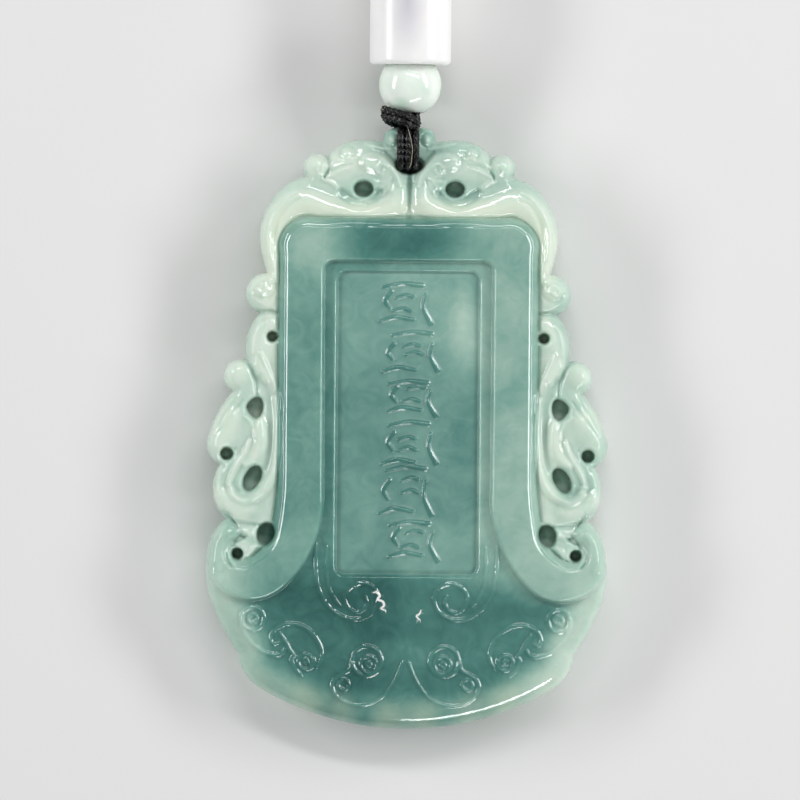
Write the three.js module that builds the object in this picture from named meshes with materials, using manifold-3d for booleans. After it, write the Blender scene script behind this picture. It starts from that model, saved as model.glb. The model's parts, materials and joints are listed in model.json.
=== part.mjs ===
// A jade plaque pendant: two beads and a black cord above a carved plaque that lies on its back.
// Millimetres. The plaque's middle is over the origin, its back is on z = 0, its crest points along +Y.
import * as THREE from 'three';
import { mergeVertices } from 'three/addons/utils/BufferGeometryUtils.js';
import Module from 'manifold-3d';

const wasm = await Module();
wasm.setup();

// The jade plaque.
const PLAQUE_LENGTH = 60.1;
const PLAQUE_THICKNESS = 7;
const EDGE_BELOW_MIDDLE = 0.55;      // back half of the plain wall at the outline and in the openings
const EDGE_ABOVE_MIDDLE = 0.55;
const BACK_SET_IN = 0.5;             // the creatures stand back from the flat of the hidden side
const CREST_LEVEL = 1.3;             // the crest's front, down from the highest face

// The carving's levels, down from the plaque's highest face.
const FRAME_LEVEL = 0.1;
const CREATURE_LEVEL = 0.86;
const LEDGE_LEVEL = 0.8;
const PANEL_LEVEL = 1.25;
const BASE_LEVEL = 1.05;
const CREASE_DEPTH = 0.35;           // where the frame's bevel meets the creatures
const CLOUD_RISE = 0.3;
const GLYPH_RISE = 0.35;
const BACK_GROOVE_DEPTH = 0.4;

// The cord and the beads.
const CORD_DIAMETER = 1;
const CORD_SPACING = 1.1;            // between the middles of the two strands
const GAP = 0.32;                    // between pieces that touch
const KNOT_RADII = [1.55, 0.62, 1.35];
const KNOT_MIDDLE_Y = 30.75;
const ROUND_BEAD_DIAMETER = 6.26;
const TUBE_BEAD_DIAMETER = 8.15;
const TUBE_BEAD_LENGTH = 14;
const TUBE_BEAD_EDGE = 0.5;
const BEAD_NESTING = 1.16;           // how far the round bead stands in the tube's dished end
const COIL_INNER_RADIUS = 4;
const COIL_OUTER_RADIUS = 8;
const COIL_HEIGHT = 4;
const COIL_MIDDLE_Y = 66;

// The carving is drawn in parts, with the middle of the plaque as zero. One side is drawn, and the
// other mirrors it: x counts outwards from the middle line and y counts towards the crest.
const PARTS_LONG = 601;
const PART = PLAQUE_LENGTH / PARTS_LONG;
const MIDDLE_Z = PLAQUE_THICKNESS / 2;

// An outline's point is x, y and the bow, outwards, of the arc that leads to the next point.
const OUTLINE = [
  [0, 300, 0.5], [8, 300.5, 7], [26, 287.5, 1.6], [60, 288, 2.2], [82.5, 272.3, 13],
  [103.8, 252.5, 5], [140, 225, 4.2], [148.6, 181, 0.3], [142, 155.5, 17.5],
  [149, 115, 2], [161.8, 89, 1], [161.3, 68.5, 16], [175.7, 36, 3], [198.6, -6, 6.8],
  [188, -37, 9.3], [182.3, -91.5, 3], [199, -119.5, 3.6], [195.5, -174, 1.6],
  [168, -226, 2.2], [158, -250, 1], [145, -261, 10.05], [0, -300.5, 0],
];
// An opening is its middle, its half sizes, its lean in degrees and how far it is drawn to a point.
const OPENINGS = [
  { x: 45.8, y: 240, across: 9, along: 7.2, lean: 0, point: 0 },
  { x: 136, y: 91.5, across: 4.4, along: 4.4, lean: 0, point: 0 },
  { x: 153, y: 20.5, across: 9.4, along: 7.8, lean: -85, point: 0.35 },
  { x: 181, y: -26, across: 5.5, along: 5.5, lean: 0, point: 0 },
  { x: 155, y: -50.5, across: 7.4, along: 12.7, lean: 28, point: 0 },
  { x: 140.8, y: -105.8, across: 8, along: 10.2, lean: 14, point: 0 },
  { x: 169.3, y: -126, across: 4.7, along: 4.7, lean: 0, point: 0 },
];
const CORD_HOLE_Y = 264.5;
// The frame's outer edge, its inner edge, which sweeps out over the base, and the sunk panel.
const FRAME_OUTSIDE = [
  [0, 202.5, 0], [94, 202.5, 11.4], [121.5, 175, 0], [121.5, -45, -1.6], [127.5, -107, -0.8],
  [134, -121, -1.5], [157, -139.5, -7], [181, -127, -4], [176, -106, 0], [184, -92, 0],
  [230, -92, 0], [230, -330, 0], [0, -330, 0],
];
const FRAME_INSIDE = [
  [0, 168, 0], [75, 168, 3], [85, 158, 0], [84.5, -60, -12.5], [125, -160.5, -13.5], [190, -156, 0],
  [225, -120, 0], [225, -330, 0], [0, -330, 0],
];
const BEVEL_WIDTH = 9;               // from the frame's outer edge down to the creatures
const CREASE_WIDTH = 4.5;            // on each side of the crease's middle
const WINDOW_SLOPE = 3;              // on each side of the frame's inner edge
const PANEL_SLOPE = 2;
const BACK_SLOPE = 4;
const BACK_GROOVE_WIDTH = 4.5;       // on each side of the groove's middle
const SEED_CLEARANCE = 2.5;          // least distance from a seed point to an edge
const PANEL_HALF_WIDTH = 71;
const PANEL_TOP = 157;
const PANEL_BOTTOM = -146;
const PANEL_CORNER = 9;
// How far in from its edge the front is rounded over, at the outline, in the openings and at the base.
const OUTLINE_ROUND = 10.5;
const OPENING_ROUND = 5.5;
const BASE_ROUND = 26;
const BACK_BASE_ROUND = 16;
// The crest's lower field ends between two distances from a point, and the base starts between two heights.
const CREST_Y = 283;
const CREST_SQUASH = 0.8;
const CREST_FIELD = [28, 52];
const BASE_START = [-185, -145];

// A stroke is its rise in millimetres, where a fall is negative, and the points of its line, each
// with half of the stroke's width there. The first strokes swell the bodies of the creatures.
const STROKES = [
  [0.5, [[42, 266, 11], [24, 259, 14], [13, 245, 15], [14, 230, 15], [26, 219, 15], [50, 214.5, 15],
    [80, 220, 16], [108, 227, 18], [128, 214, 19], [138, 196, 17], [140, 174, 14], [138, 152, 10]]],
  [0.35, [[86, 263, 20], [66, 263, 24], [46, 263, 20]]],
  [-0.5, [[31, 237, 7], [38, 229, 9], [51, 226.5, 10], [62, 231, 9], [69, 238, 5]]],
  [0.45, [[93.5, 264, 14], [94, 265, 14]]],
  [-0.35, [[0, 258, 5], [0, 240, 7], [0, 226, 8], [0, 211, 9]]],
  [0.5, [[146, 139, 19], [147, 140, 19]]],
  [0.35, [[137, 106, 8], [144, 92, 12], [148, 78, 13], [147, 62, 11], [142, 50, 8]]],
  [0.45, [[171, 56, 17], [172, 55, 17]]],
  [-0.3, [[148, 50, 6], [142, 36, 8], [138.5, 18, 8], [137, -18, 8], [146, -50, 6]]],
  [0.35, [[148, 10, 4], [149, -18, 9], [162, -36, 5]]],
  [0.35, [[176, 10, 15], [186, -18, 14]]],
  [0.3, [[156, -82, 10], [172, -80, 14], [186, -68, 12]]],
  [0.3, [[167, -124, 20], [170, -126, 20]]],
  [0.08, [[188, -148, 4], [183, -154, 7], [172, -161, 7], [158, -166, 5]]],
  // The head's jaw, notch, brow and horn, and the eye.
  [0.25, [[86, 249, 2.5], [70, 239.5, 4.4], [56, 227, 3.6], [44, 224.5, 2]]],
  [-0.3, [[82.5, 274, 4.5], [80.5, 266, 4.5], [85, 250, 2]]],
  [0.25, [[53, 271, 2], [63, 269.3, 3.6], [81, 262.5, 3]]],
  [0.34, [[45, 270.5, 4], [35, 271.5, 7], [26, 269, 7], [12, 253, 5.4], [9, 243, 3]]],
  [0.3, [[62.3, 275.5, 6], [62.7, 275.5, 6]]],
  // The tail's ribbon, its curl and the ridges of the lower body.
  [0.25, [[112, 237, 2], [124, 230, 3.6], [138.8, 205, 4], [139.5, 170, 2.4]]],
  [-0.25, [[138, 153.5, 2], [135.5, 134.5, 3.6], [142, 128.5, 3.8], [155, 136.5, 3.2]]],
  [-0.4, [[131, 116, 3], [140, 116.5, 4.4], [150, 115, 4.4]]],
  [-0.3, [[162, 68.5, 3], [155.5, 57, 3.8], [152, 46, 4.2], [150.5, 33, 3]]],
  [0.25, [[148, 76, 2], [138.3, 55, 3.8], [128.5, 30, 3.4], [126.8, 18, 2.4]]],
  [0.42, [[131.5, 30, 3], [129.5, 8, 4.4], [130.6, -30, 5.4], [140.5, -59, 6.4], [150, -68, 6.8],
    [162, -72.5, 7], [172.5, -68, 6], [177.5, -58, 3.6]]],
  [0.3, [[157.5, -12, 3], [169, -35.5, 4.8], [178.5, -57, 3]]],
  [-0.3, [[147, -97, 2.6], [172, -94.5, 4.4], [183, -91, 4.4]]],
  // The volute and the ledge's spirals.
  [0.1, [[160, -104, 3], [172, -103, 5], [182, -106, 6.4], [189, -116, 7.4], [190.5, -129, 6.8],
    [187, -142, 4]]],
  [-0.35, [[160, -109, 3], [172, -112, 4.4], [179, -119, 5], [180, -130, 4.6], [175, -138, 3]]],
  [0.26, [[90.5, -116, 2], [90.5, -138, 3], [88, -158, 3.2], [70, -184.5, 3.2], [42.5, -189.5, 3.2],
    [28, -171, 3], [38.5, -155.5, 3], [57, -160, 3.2], [58.5, -178, 3], [42.5, -181, 3], [41, -167, 2]]],
  [0.22, [[79.5, -118, 2], [79.5, -142, 3], [71, -171, 3], [66, -177, 2]]],
  // The base's clouds.
  [CLOUD_RISE, ringLine(153, -190.5, 11.3, 11.3, -150, -1, 3)],
  [CLOUD_RISE, [[163.5, -186, 2.4], [160, -207, 3.4], [141.5, -224.3, 3.4], [124, -225.5, 3.2],
    [121, -220.5, 2.4]]],
  [CLOUD_RISE, [[128, -215, 2], [135.3, -211.5, 3], [127, -199, 3.4], [107, -197, 3.4], [89.3, -210.5, 3.4],
    [84, -230, 3.2], [89, -238.5, 2.4]]],
  [CLOUD_RISE, [[125.5, -205.5, 2.4], [116.3, -221, 3.2], [112, -226.5, 2.4]]],
  [CLOUD_RISE, ringLine(100, -233, 9, 6, 165, 1.15, 2.8)],
  [CLOUD_RISE, ringLine(38.8, -232.5, 14.8, 14.8, 0, 1, 3)],
  [CLOUD_RISE, ringLine(37, -236, 8.3, 8.3, 0, 1, 2.6)],
  [CLOUD_RISE, [[54.5, -234, 2], [64.5, -246, 3.2], [73.5, -258.5, 3.2], [60, -273.5, 2.6], [35, -274.5, 2.2],
    [11, -252, 2.2], [3, -233, 2]]],
];
// The inscription's place holds six rows of plain strokes. A row is its top, its height and its
// middle, and a stroke's points are shares of the row's box, with half of the width.
const GLYPH_ROWS = [[148, 45, -6], [98, 41, 2], [52, 38, 3], [8, 46, -1], [-34, 52, -1], [-89, 44, 4]];
const GLYPH_WIDTH = 54;
const GLYPH_STROKES = [
  [[0.14, 0.86, 2.6], [0.5, 0.94, 3.6], [0.86, 0.9, 4]],
  [[0.24, 0.72, 3.4], [0.13, 0.52, 3.6], [0.22, 0.34, 2.4]],
  [[0.4, 0.64, 2.6], [0.58, 0.7, 3.4], [0.72, 0.66, 2.6]],
  [[0.38, 0.38, 2.6], [0.56, 0.44, 3.4], [0.7, 0.38, 2.6]],
  [[0.9, 0.68, 2.6], [0.86, 0.4, 3.4], [1, 0.04, 4.6]],
  [[0.05, 0.06, 2.6], [0.32, 0.16, 3.8], [0.66, 0.1, 3]],
];
// The strokes shift by a share of the row's box, in waves that run over the rows and the strokes.
const GLYPH_SHIFT = 0.05;
const GLYPH_ROW_WAVE = 2.4;
const GLYPH_STROKE_WAVE = 1.7;

// How finely the pieces are cut: steps in parts, then counts of points, of sides and of steps.
const OUTLINE_STEP = 11;
const STROKE_STEP = 4;
const SAMPLE_STEP = 2;
const FRONT_POINTS = 2400;
const BACK_POINTS = 450;
const EDGE_MATTERS_LESS = 12;        // within this distance of an edge, a fault counts less
const LEAST_SHARE = 0.04;            // a new point keeps off a triangle's sides by this share
const ROUND_BEAD_SIDES = 20;
const TUBE_BEAD_SIDES = 24;
const COIL_SIDES = 20;
const CORD_SIDES = 8;
const HELD_CORD_STEPS = 20;

const CORD_RADIUS = CORD_DIAMETER / 2;
const STRAND_X = CORD_SPACING / 2;
const BORE_RADIUS = STRAND_X + CORD_RADIUS + GAP;
const CREST_SET_IN = CORD_DIAMETER + 1.1 * GAP;
const FRONT_STRAND_Z = PLAQUE_THICKNESS - CREST_LEVEL + GAP + CORD_RADIUS;
const BACK_STRAND_Z = CREST_SET_IN - GAP - CORD_RADIUS;
const ROUND_BEAD_RADIUS = ROUND_BEAD_DIAMETER / 2;
const TUBE_BEAD_RADIUS = TUBE_BEAD_DIAMETER / 2;
const BEAD_AXIS_Z = TUBE_BEAD_RADIUS;
const ROUND_BEAD_HALF_LENGTH = Math.sqrt(ROUND_BEAD_RADIUS ** 2 - BORE_RADIUS ** 2);
const ROUND_BEAD_Y = KNOT_MIDDLE_Y + KNOT_RADII[1] + GAP + ROUND_BEAD_HALF_LENGTH;
const TUBE_START_Y = ROUND_BEAD_Y + ROUND_BEAD_RADIUS - BEAD_NESTING;
const TUBE_END_Y = TUBE_START_Y + TUBE_BEAD_LENGTH;

// A line through drawn points, with an arc of the stated bow to the left of the way between each two.
function bowed(points, step = 5) {
  const line = [];
  for (let i = 0; i + 1 < points.length; i += 1) {
    const [ax, ay, bow] = points[i];
    const [bx, by] = points[i + 1];
    const chord = Math.hypot(bx - ax, by - ay);
    const along = [(bx - ax) / chord, (by - ay) / chord];
    const half = 2 * Math.atan(2 * bow / chord);
    const radius = half === 0 ? 0 : chord / (2 * Math.sin(half));
    const count = Math.max(1, Math.round((half === 0 ? chord : 2 * radius * half) / step));
    for (let k = 0; k < count; k += 1) {
      const turn = (2 * k / count - 1) * half;
      const forward = half === 0 ? chord * k / count : chord / 2 + radius * Math.sin(turn);
      const sideways = half === 0 ? 0 : radius * (Math.cos(turn) - Math.cos(half));
      line.push([
        ax + forward * along[0] - sideways * along[1],
        ay + forward * along[1] + sideways * along[0],
      ]);
    }
  }
  line.push(points[points.length - 1].slice(0, 2));
  return line;
}

// The points of a round or spiral stroke: its middle, its first and last radius, where it starts in
// degrees, how often it goes round and half of its width.
function ringLine(x, y, startRadius, endRadius, start, turns, half) {
  const count = Math.ceil(10 * Math.abs(turns));
  return Array.from({ length: count + 1 }, (_, k) => {
    const angle = THREE.MathUtils.degToRad(start) + 2 * Math.PI * turns * k / count;
    const radius = startRadius + (endRadius - startRadius) * k / count;
    return [x + radius * Math.cos(angle), y + radius * Math.sin(angle), half];
  });
}

// A stroke with its smooth line, and the box that its line fills.
function strokeAlong(rise, points) {
  const curve = new THREE.CatmullRomCurve3(points.map((point) => new THREE.Vector3(...point)));
  const line = curve.getSpacedPoints(Math.max(1, Math.round(curve.getLength() / STROKE_STEP)));
  const widest = Math.max(...line.map((point) => point.z));
  return { rise, line, box: new THREE.Box3().setFromPoints(line).expandByScalar(widest) };
}

// The closed ring that a drawn side makes with its mirror image.
function mirroredRing(points, step) {
  const side = bowed(points, step);
  return [...side, ...side.slice(1, -1).reverse().map(([x, y]) => [-x, y])];
}

function openingRing({ x, y, across, along, lean, point }, side, step) {
  const count = Math.max(10, Math.round(Math.PI * (across + along) / step));
  const turn = THREE.MathUtils.degToRad(lean);
  return Array.from({ length: count }, (_, k) => {
    const angle = 2 * Math.PI * k / count;
    const out = across * Math.cos(angle) * (1 - point * Math.sin(angle));
    const up = along * Math.sin(angle);
    return [
      side * (x + out * Math.cos(turn) - up * Math.sin(turn)),
      y + out * Math.sin(turn) + up * Math.cos(turn),
    ];
  });
}

// The squared distance from a point to the stretch of line between two others.
function squaredDistance(x, y, ax, ay, bx, by) {
  const dx = bx - ax;
  const dy = by - ay;
  const share = Math.min(Math.max(((x - ax) * dx + (y - ay) * dy) / (dx * dx + dy * dy || 1), 0), 1);
  const fromX = x - ax - share * dx;
  const fromY = y - ay - share * dy;
  return fromX * fromX + fromY * fromY;
}

// How far a point is inside a ring; a negative distance is outside it.
function distanceInside(ring, x, y) {
  let nearest = Infinity;
  let inside = false;
  let a = ring[ring.length - 1];
  for (let i = 0; i < ring.length; i += 1) {
    const b = ring[i];
    nearest = Math.min(nearest, squaredDistance(x, y, a[0], a[1], b[0], b[1]));
    if ((a[1] > y) !== (b[1] > y) && x < a[0] + (y - a[1]) * (b[0] - a[0]) / (b[1] - a[1])) inside = !inside;
    a = b;
  }
  return inside ? Math.sqrt(nearest) : -Math.sqrt(nearest);
}

// The stroke's rise at a point: full on its line and nothing at its half width.
function strokeRise({ rise, line, box }, x, y) {
  if (x < box.min.x || x > box.max.x || y < box.min.y || y > box.max.y) return 0;
  let nearest = 1;
  for (let i = 0; i + 1 < line.length; i += 1) {
    const [a, b] = [line[i], line[i + 1]];
    const half = Math.min(a.z, b.z);
    nearest = Math.min(nearest, squaredDistance(x, y, a.x, a.y, b.x, b.y) / (half * half));
  }
  return rise * (1 - nearest) ** 2;
}

const cordHole = {
  x: 0,
  y: CORD_HOLE_Y,
  across: BORE_RADIUS / PART,
  along: (CORD_RADIUS + 1.25 * GAP) / PART,
  lean: 0,
  point: 0,
};
const outlineRing = mirroredRing(OUTLINE, OUTLINE_STEP);
const openingRings = [
  openingRing(cordHole, 1, OUTLINE_STEP / 2),
  ...OPENINGS.flatMap((opening) => [1, -1].map((side) => openingRing(opening, side, OUTLINE_STEP / 2))),
];
const frameOutsideRing = mirroredRing(FRAME_OUTSIDE);
const frameInsideRing = mirroredRing(FRAME_INSIDE);
const mirroredStrokes = STROKES.map(([rise, points]) => strokeAlong(rise, points));
const glyphStrokes = GLYPH_ROWS.flatMap(([top, height, middle], row) => GLYPH_STROKES.map((points, index) => {
  const shift = GLYPH_SHIFT * Math.sin(GLYPH_ROW_WAVE * row + GLYPH_STROKE_WAVE * index);
  return strokeAlong(GLYPH_RISE, points.map(([across, up, half]) => [
    middle + GLYPH_WIDTH * (across + shift - 0.5), top - height * (1 - up - shift), half,
  ]));
}));

function panelDistance(x, y) {
  const dx = Math.abs(x) - PANEL_HALF_WIDTH + PANEL_CORNER;
  const dy = Math.abs(y - (PANEL_TOP + PANEL_BOTTOM) / 2) - (PANEL_TOP - PANEL_BOTTOM) / 2 + PANEL_CORNER;
  return PANEL_CORNER - Math.hypot(Math.max(dx, 0), Math.max(dy, 0)) - Math.min(Math.max(dx, dy), 0);
}

const blend = (from, to, share) => from + (to - from) * share;
const { smoothstep } = THREE.MathUtils;

// The surface falls in a quarter round to the wall at the outline and at each opening.
function roundedOver(height, wall, x, y, baseRound) {
  const outlineShare = distanceInside(outlineRing, x, y) / blend(OUTLINE_ROUND, baseRound, baseShare(y));
  const openingShare = openingDistance(x, y) / OPENING_ROUND;
  return [outlineShare, openingShare].reduce((rounded, share) => {
    const inwards = THREE.MathUtils.clamp(share, 0, 1);
    return wall + (rounded - wall) * Math.sqrt(1 - (1 - inwards) ** 2);
  }, height);
}

const openingDistance = (x, y) => Math.min(...openingRings.map((ring) => -distanceInside(ring, x, y)));
const edgeDistance = (x, y) => Math.min(distanceInside(outlineRing, x, y), openingDistance(x, y));

const crestShare = (x, y) => 1 - smoothstep(Math.hypot(x, CREST_SQUASH * (y - CREST_Y)), ...CREST_FIELD);
const baseShare = (y) => 1 - smoothstep(y, ...BASE_START);

// Millimetres from the plaque's middle to the carved front at a point given in parts.
function frontHeight(x, y) {
  const side = Math.abs(x);
  const inFrame = distanceInside(frameOutsideRing, side, y);
  const inWindow = distanceInside(frameInsideRing, side, y);
  const creature = blend(CREATURE_LEVEL, CREST_LEVEL, crestShare(x, y));
  let level = blend(creature, FRAME_LEVEL, smoothstep(inFrame, -BEVEL_WIDTH, 0));
  level += CREASE_DEPTH * Math.max(0, 1 - Math.abs(inFrame + BEVEL_WIDTH) / CREASE_WIDTH);
  const inner = blend(LEDGE_LEVEL, BASE_LEVEL, baseShare(y));
  level = blend(level, inner, smoothstep(inWindow, -WINDOW_SLOPE, WINDOW_SLOPE));
  level = blend(level, PANEL_LEVEL, smoothstep(panelDistance(x, y), -PANEL_SLOPE, PANEL_SLOPE));
  let height = PLAQUE_THICKNESS / 2 - level;
  mirroredStrokes.forEach((stroke) => { height += strokeRise(stroke, side, y); });
  height += Math.max(0, ...glyphStrokes.map((stroke) => strokeRise(stroke, x, y)));
  return roundedOver(height, EDGE_ABOVE_MIDDLE, x, y, BASE_ROUND);
}

// Millimetres from the middle down to the plainer back, whose frame, panel and base are flat.
function backHeight(x, y) {
  const inFrame = distanceInside(frameOutsideRing, Math.abs(x), y);
  const setIn = blend(BACK_SET_IN, CREST_SET_IN, crestShare(x, y));
  let level = blend(setIn, 0, smoothstep(inFrame, 0, BACK_SLOPE));
  level += BACK_GROOVE_DEPTH * Math.max(0, 1 - Math.abs(panelDistance(x, y)) / BACK_GROOVE_WIDTH);
  return roundedOver(PLAQUE_THICKNESS / 2 - level, EDGE_BELOW_MIDDLE, x, y, BACK_BASE_ROUND);
}

// One carved face as a net of triangles inside its rings. The net starts with the rings alone. It
// then takes, one by one, the point of a fine grid where it is furthest from the carved height.
function carvedNet(rings, heightAt, seeds, wanted) {
  const points = [];
  const corners = [];
  const across = [];
  const worst = [];
  const known = new Map();

  // The height at a grid point, and how much a fault there counts: less on the steep edges.
  function sampleAt(x, y) {
    const key = `${x} ${y}`;
    if (!known.has(key)) {
      const edge = THREE.MathUtils.clamp(edgeDistance(x, y) / EDGE_MATTERS_LESS, 0, 1);
      known.set(key, { height: heightAt(x, y), weight: edge });
    }
    return known.get(key);
  }

  function addPoint(x, y, height) {
    points.push([x, y, height]);
    return points.length - 1;
  }

  function doubleArea(a, b, x, y) {
    const [ax, ay] = points[a];
    const [bx, by] = points[b];
    return (bx - ax) * (y - ay) - (by - ay) * (x - ax);
  }

  function measure(triangle) {
    const [a, b, c] = [0, 1, 2].map((k) => corners[3 * triangle + k]);
    const whole = doubleArea(a, b, points[c][0], points[c][1]);
    const xs = [a, b, c].map((k) => points[k][0] / SAMPLE_STEP);
    const ys = [a, b, c].map((k) => points[k][1] / SAMPLE_STEP);
    let found = { error: 0 };
    for (let row = Math.ceil(Math.min(...ys)); row <= Math.max(...ys); row += 1) {
      for (let column = Math.ceil(Math.min(...xs)); column <= Math.max(...xs); column += 1) {
        const x = column * SAMPLE_STEP;
        const y = row * SAMPLE_STEP;
        const atA = doubleArea(b, c, x, y) / whole;
        const atB = doubleArea(c, a, x, y) / whole;
        const atC = 1 - atA - atB;
        if (Math.min(atA, atB, atC) < LEAST_SHARE) continue;
        const { height, weight } = sampleAt(x, y);
        const flat = atA * points[a][2] + atB * points[b][2] + atC * points[c][2];
        const error = weight * Math.abs(height - flat);
        if (error > found.error) found = { error, x, y, height };
      }
    }
    worst[triangle] = found;
  }

  function link(edge, other) {
    across[edge] = other;
    if (other >= 0) across[other] = edge;
  }

  // Turns the shared edge of two triangles where that makes the net more even, and then their others.
  function settle(edge, touched) {
    const other = across[edge];
    if (other < 0) return;
    const one = edge - edge % 3;
    const two = other - other % 3;
    const [next, last] = [one + (edge + 1) % 3, one + (edge + 2) % 3];
    const [otherNext, otherLast] = [two + (other + 1) % 3, two + (other + 2) % 3];
    const [a, b, c, d] = [corners[edge], corners[next], corners[last], corners[otherLast]];
    if (doubleArea(c, a, points[d][0], points[d][1]) <= 0) return;
    if (doubleArea(d, b, points[c][0], points[c][1]) <= 0) return;
    if (!insideCircle(points[a], points[b], points[c], points[d])) return;
    const [outNext, outLast] = [across[next], across[last]];
    const [outOtherNext, outOtherLast] = [across[otherNext], across[otherLast]];
    corners.splice(one, 3, c, a, d);
    corners.splice(two, 3, d, b, c);
    link(one, outLast);
    link(one + 1, outOtherNext);
    link(two, outOtherLast);
    link(two + 1, outNext);
    link(one + 2, two + 2);
    touched.add(one / 3);
    touched.add(two / 3);
    [one, one + 1, two, two + 1].forEach((k) => settle(k, touched));
  }

  function insert(triangle, x, y, height) {
    const p = addPoint(x, y, height);
    const start = 3 * triangle;
    const [a, b, c] = [corners[start], corners[start + 1], corners[start + 2]];
    const [outA, outB, outC] = [across[start], across[start + 1], across[start + 2]];
    const second = corners.length;
    const third = second + 3;
    corners.splice(start, 3, a, b, p);
    corners.push(b, c, p, c, a, p);
    link(start, outA);
    link(second, outB);
    link(third, outC);
    link(start + 1, second + 2);
    link(second + 1, third + 2);
    link(third + 1, start + 2);
    const touched = new Set([triangle, second / 3, third / 3]);
    [start, second, third].forEach((k) => settle(k, touched));
    touched.forEach(measure);
  }

  rings.flat().forEach(([x, y]) => addPoint(x, y, heightAt(x, y)));
  const flat = rings.map((ring) => ring.map(([x, y]) => new THREE.Vector2(x, y)));
  THREE.ShapeUtils.triangulateShape(flat[0], flat.slice(1)).forEach(([a, b, c]) => {
    corners.push(...(doubleArea(a, b, points[c][0], points[c][1]) > 0 ? [a, b, c] : [a, c, b]));
  });
  const edges = new Map();
  corners.forEach((from, edge) => {
    const to = corners[edge - edge % 3 + (edge + 1) % 3];
    across[edge] = -1;
    if (edges.has(`${to} ${from}`)) link(edge, edges.get(`${to} ${from}`));
    edges.set(`${from} ${to}`, edge);
  });
  for (let edge = 0; edge < corners.length; edge += 1) settle(edge, new Set());
  for (let triangle = 0; 3 * triangle < corners.length; triangle += 1) measure(triangle);
  seeds.filter(([x, y]) => edgeDistance(x, y) > SEED_CLEARANCE).forEach(([x, y]) => {
    for (let triangle = 0; 3 * triangle < corners.length; triangle += 1) {
      const [a, b, c] = [0, 1, 2].map((k) => corners[3 * triangle + k]);
      if (doubleArea(a, b, x, y) > 1 && doubleArea(b, c, x, y) > 1 && doubleArea(c, a, x, y) > 1) {
        insert(triangle, x, y, heightAt(x, y));
        break;
      }
    }
  });
  while (points.length < wanted + rings.flat().length) {
    const furthest = worst.reduce((best, found, k) => (found.error > worst[best].error ? k : best), 0);
    const { x, y, height } = worst[furthest];
    insert(furthest, x, y, height);
  }
  return { points, corners };
}

function insideCircle(a, b, c, d) {
  const [ax, ay, bx, by, cx, cy] = [a, b, c].flatMap(([x, y]) => [x - d[0], y - d[1]]);
  const [sa, sb, sc] = [ax * ax + ay * ay, bx * bx + by * by, cx * cx + cy * cy];
  return ax * (by * sc - sb * cy) - ay * (bx * sc - sb * cx) + sa * (bx * cy - by * cx) > 1e-6;
}

// Points along a ring and beside it, so that the net's edges follow the frame's edges.
function seedsBeside(ring, offsets, spacing) {
  return ring.flatMap(([x, y], i) => {
    const [nx, ny] = ring[(i + 1) % ring.length];
    const length = Math.hypot(nx - x, ny - y);
    if (i % spacing || length === 0) return [];
    return offsets.map((offset) => [x - offset * (ny - y) / length, y + offset * (nx - x) / length]);
  });
}

function panelRing() {
  const half = PANEL_HALF_WIDTH;
  const corner = PANEL_CORNER;
  const bow = corner * (1 - Math.SQRT1_2);
  return mirroredRing([
    [0, PANEL_TOP, 0], [half - corner, PANEL_TOP, bow], [half, PANEL_TOP - corner, 0],
    [half, PANEL_BOTTOM + corner, bow], [half - corner, PANEL_BOTTOM, 0], [0, PANEL_BOTTOM, 0],
  ]);
}

function makePlaque() {
  const rings = [outlineRing, ...openingRings];
  const frontSeeds = [
    ...seedsBeside(frameOutsideRing, [0, BEVEL_WIDTH], 2),
    ...seedsBeside(frameInsideRing, [-WINDOW_SLOPE, WINDOW_SLOPE], 2),
    ...seedsBeside(panelRing(), [-PANEL_SLOPE, PANEL_SLOPE], 3),
  ];
  const backSeeds = [
    ...seedsBeside(frameOutsideRing, [0, -BACK_SLOPE], 3),
    ...seedsBeside(panelRing(), [-BACK_GROOVE_WIDTH, 0, BACK_GROOVE_WIDTH], 6),
  ];
  const front = carvedNet(rings, frontHeight, frontSeeds, FRONT_POINTS);
  const back = carvedNet(rings, backHeight, backSeeds, BACK_POINTS);
  const positions = [
    ...front.points.flatMap(([x, y, h]) => [x * PART, y * PART, MIDDLE_Z + h]),
    ...back.points.flatMap(([x, y, h]) => [x * PART, y * PART, MIDDLE_Z - h]),
  ];
  const below = front.points.length;
  const faces = [...front.corners];
  for (let k = 0; k < back.corners.length; k += 3) {
    faces.push(below + back.corners[k], below + back.corners[k + 2], below + back.corners[k + 1]);
  }
  let first = 0;
  rings.forEach((ring) => {
    const area = THREE.ShapeUtils.area(ring.map(([x, y]) => new THREE.Vector2(x, y)));
    const turns = ring === outlineRing ? area > 0 : area < 0;
    ring.forEach((_, i) => {
      const next = (i + 1) % ring.length;
      const [a, b] = turns ? [first + i, first + next] : [first + next, first + i];
      faces.push(a, below + a, b, b, below + a, below + b);
    });
    first += ring.length;
  });
  const geometry = new THREE.BufferGeometry();
  geometry.setAttribute('position', new THREE.Float32BufferAttribute(positions, 3));
  geometry.setIndex(faces);
  geometry.computeVertexNormals();
  return geometry;
}

// A closed profile of [radius, height] points, turned about the beads' axis.
function turned(profile, segments) {
  const closed = [...profile, profile[0]].map(([radius, y]) => new THREE.Vector2(radius, y));
  return new THREE.LatheGeometry(closed, segments);
}

function arcProfile(middleY, radius, startAngle, endAngle, count, middleRadius = 0) {
  return Array.from({ length: count + 1 }, (_, k) => {
    const angle = startAngle + (endAngle - startAngle) * k / count;
    return [middleRadius + radius * Math.cos(angle), middleY + radius * Math.sin(angle)];
  });
}

function makeRoundBead() {
  const mouth = Math.acos(BORE_RADIUS / ROUND_BEAD_RADIUS);
  return turned(arcProfile(0, ROUND_BEAD_RADIUS, -mouth, mouth, ROUND_BEAD_SIDES / 2), ROUND_BEAD_SIDES);
}

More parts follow.
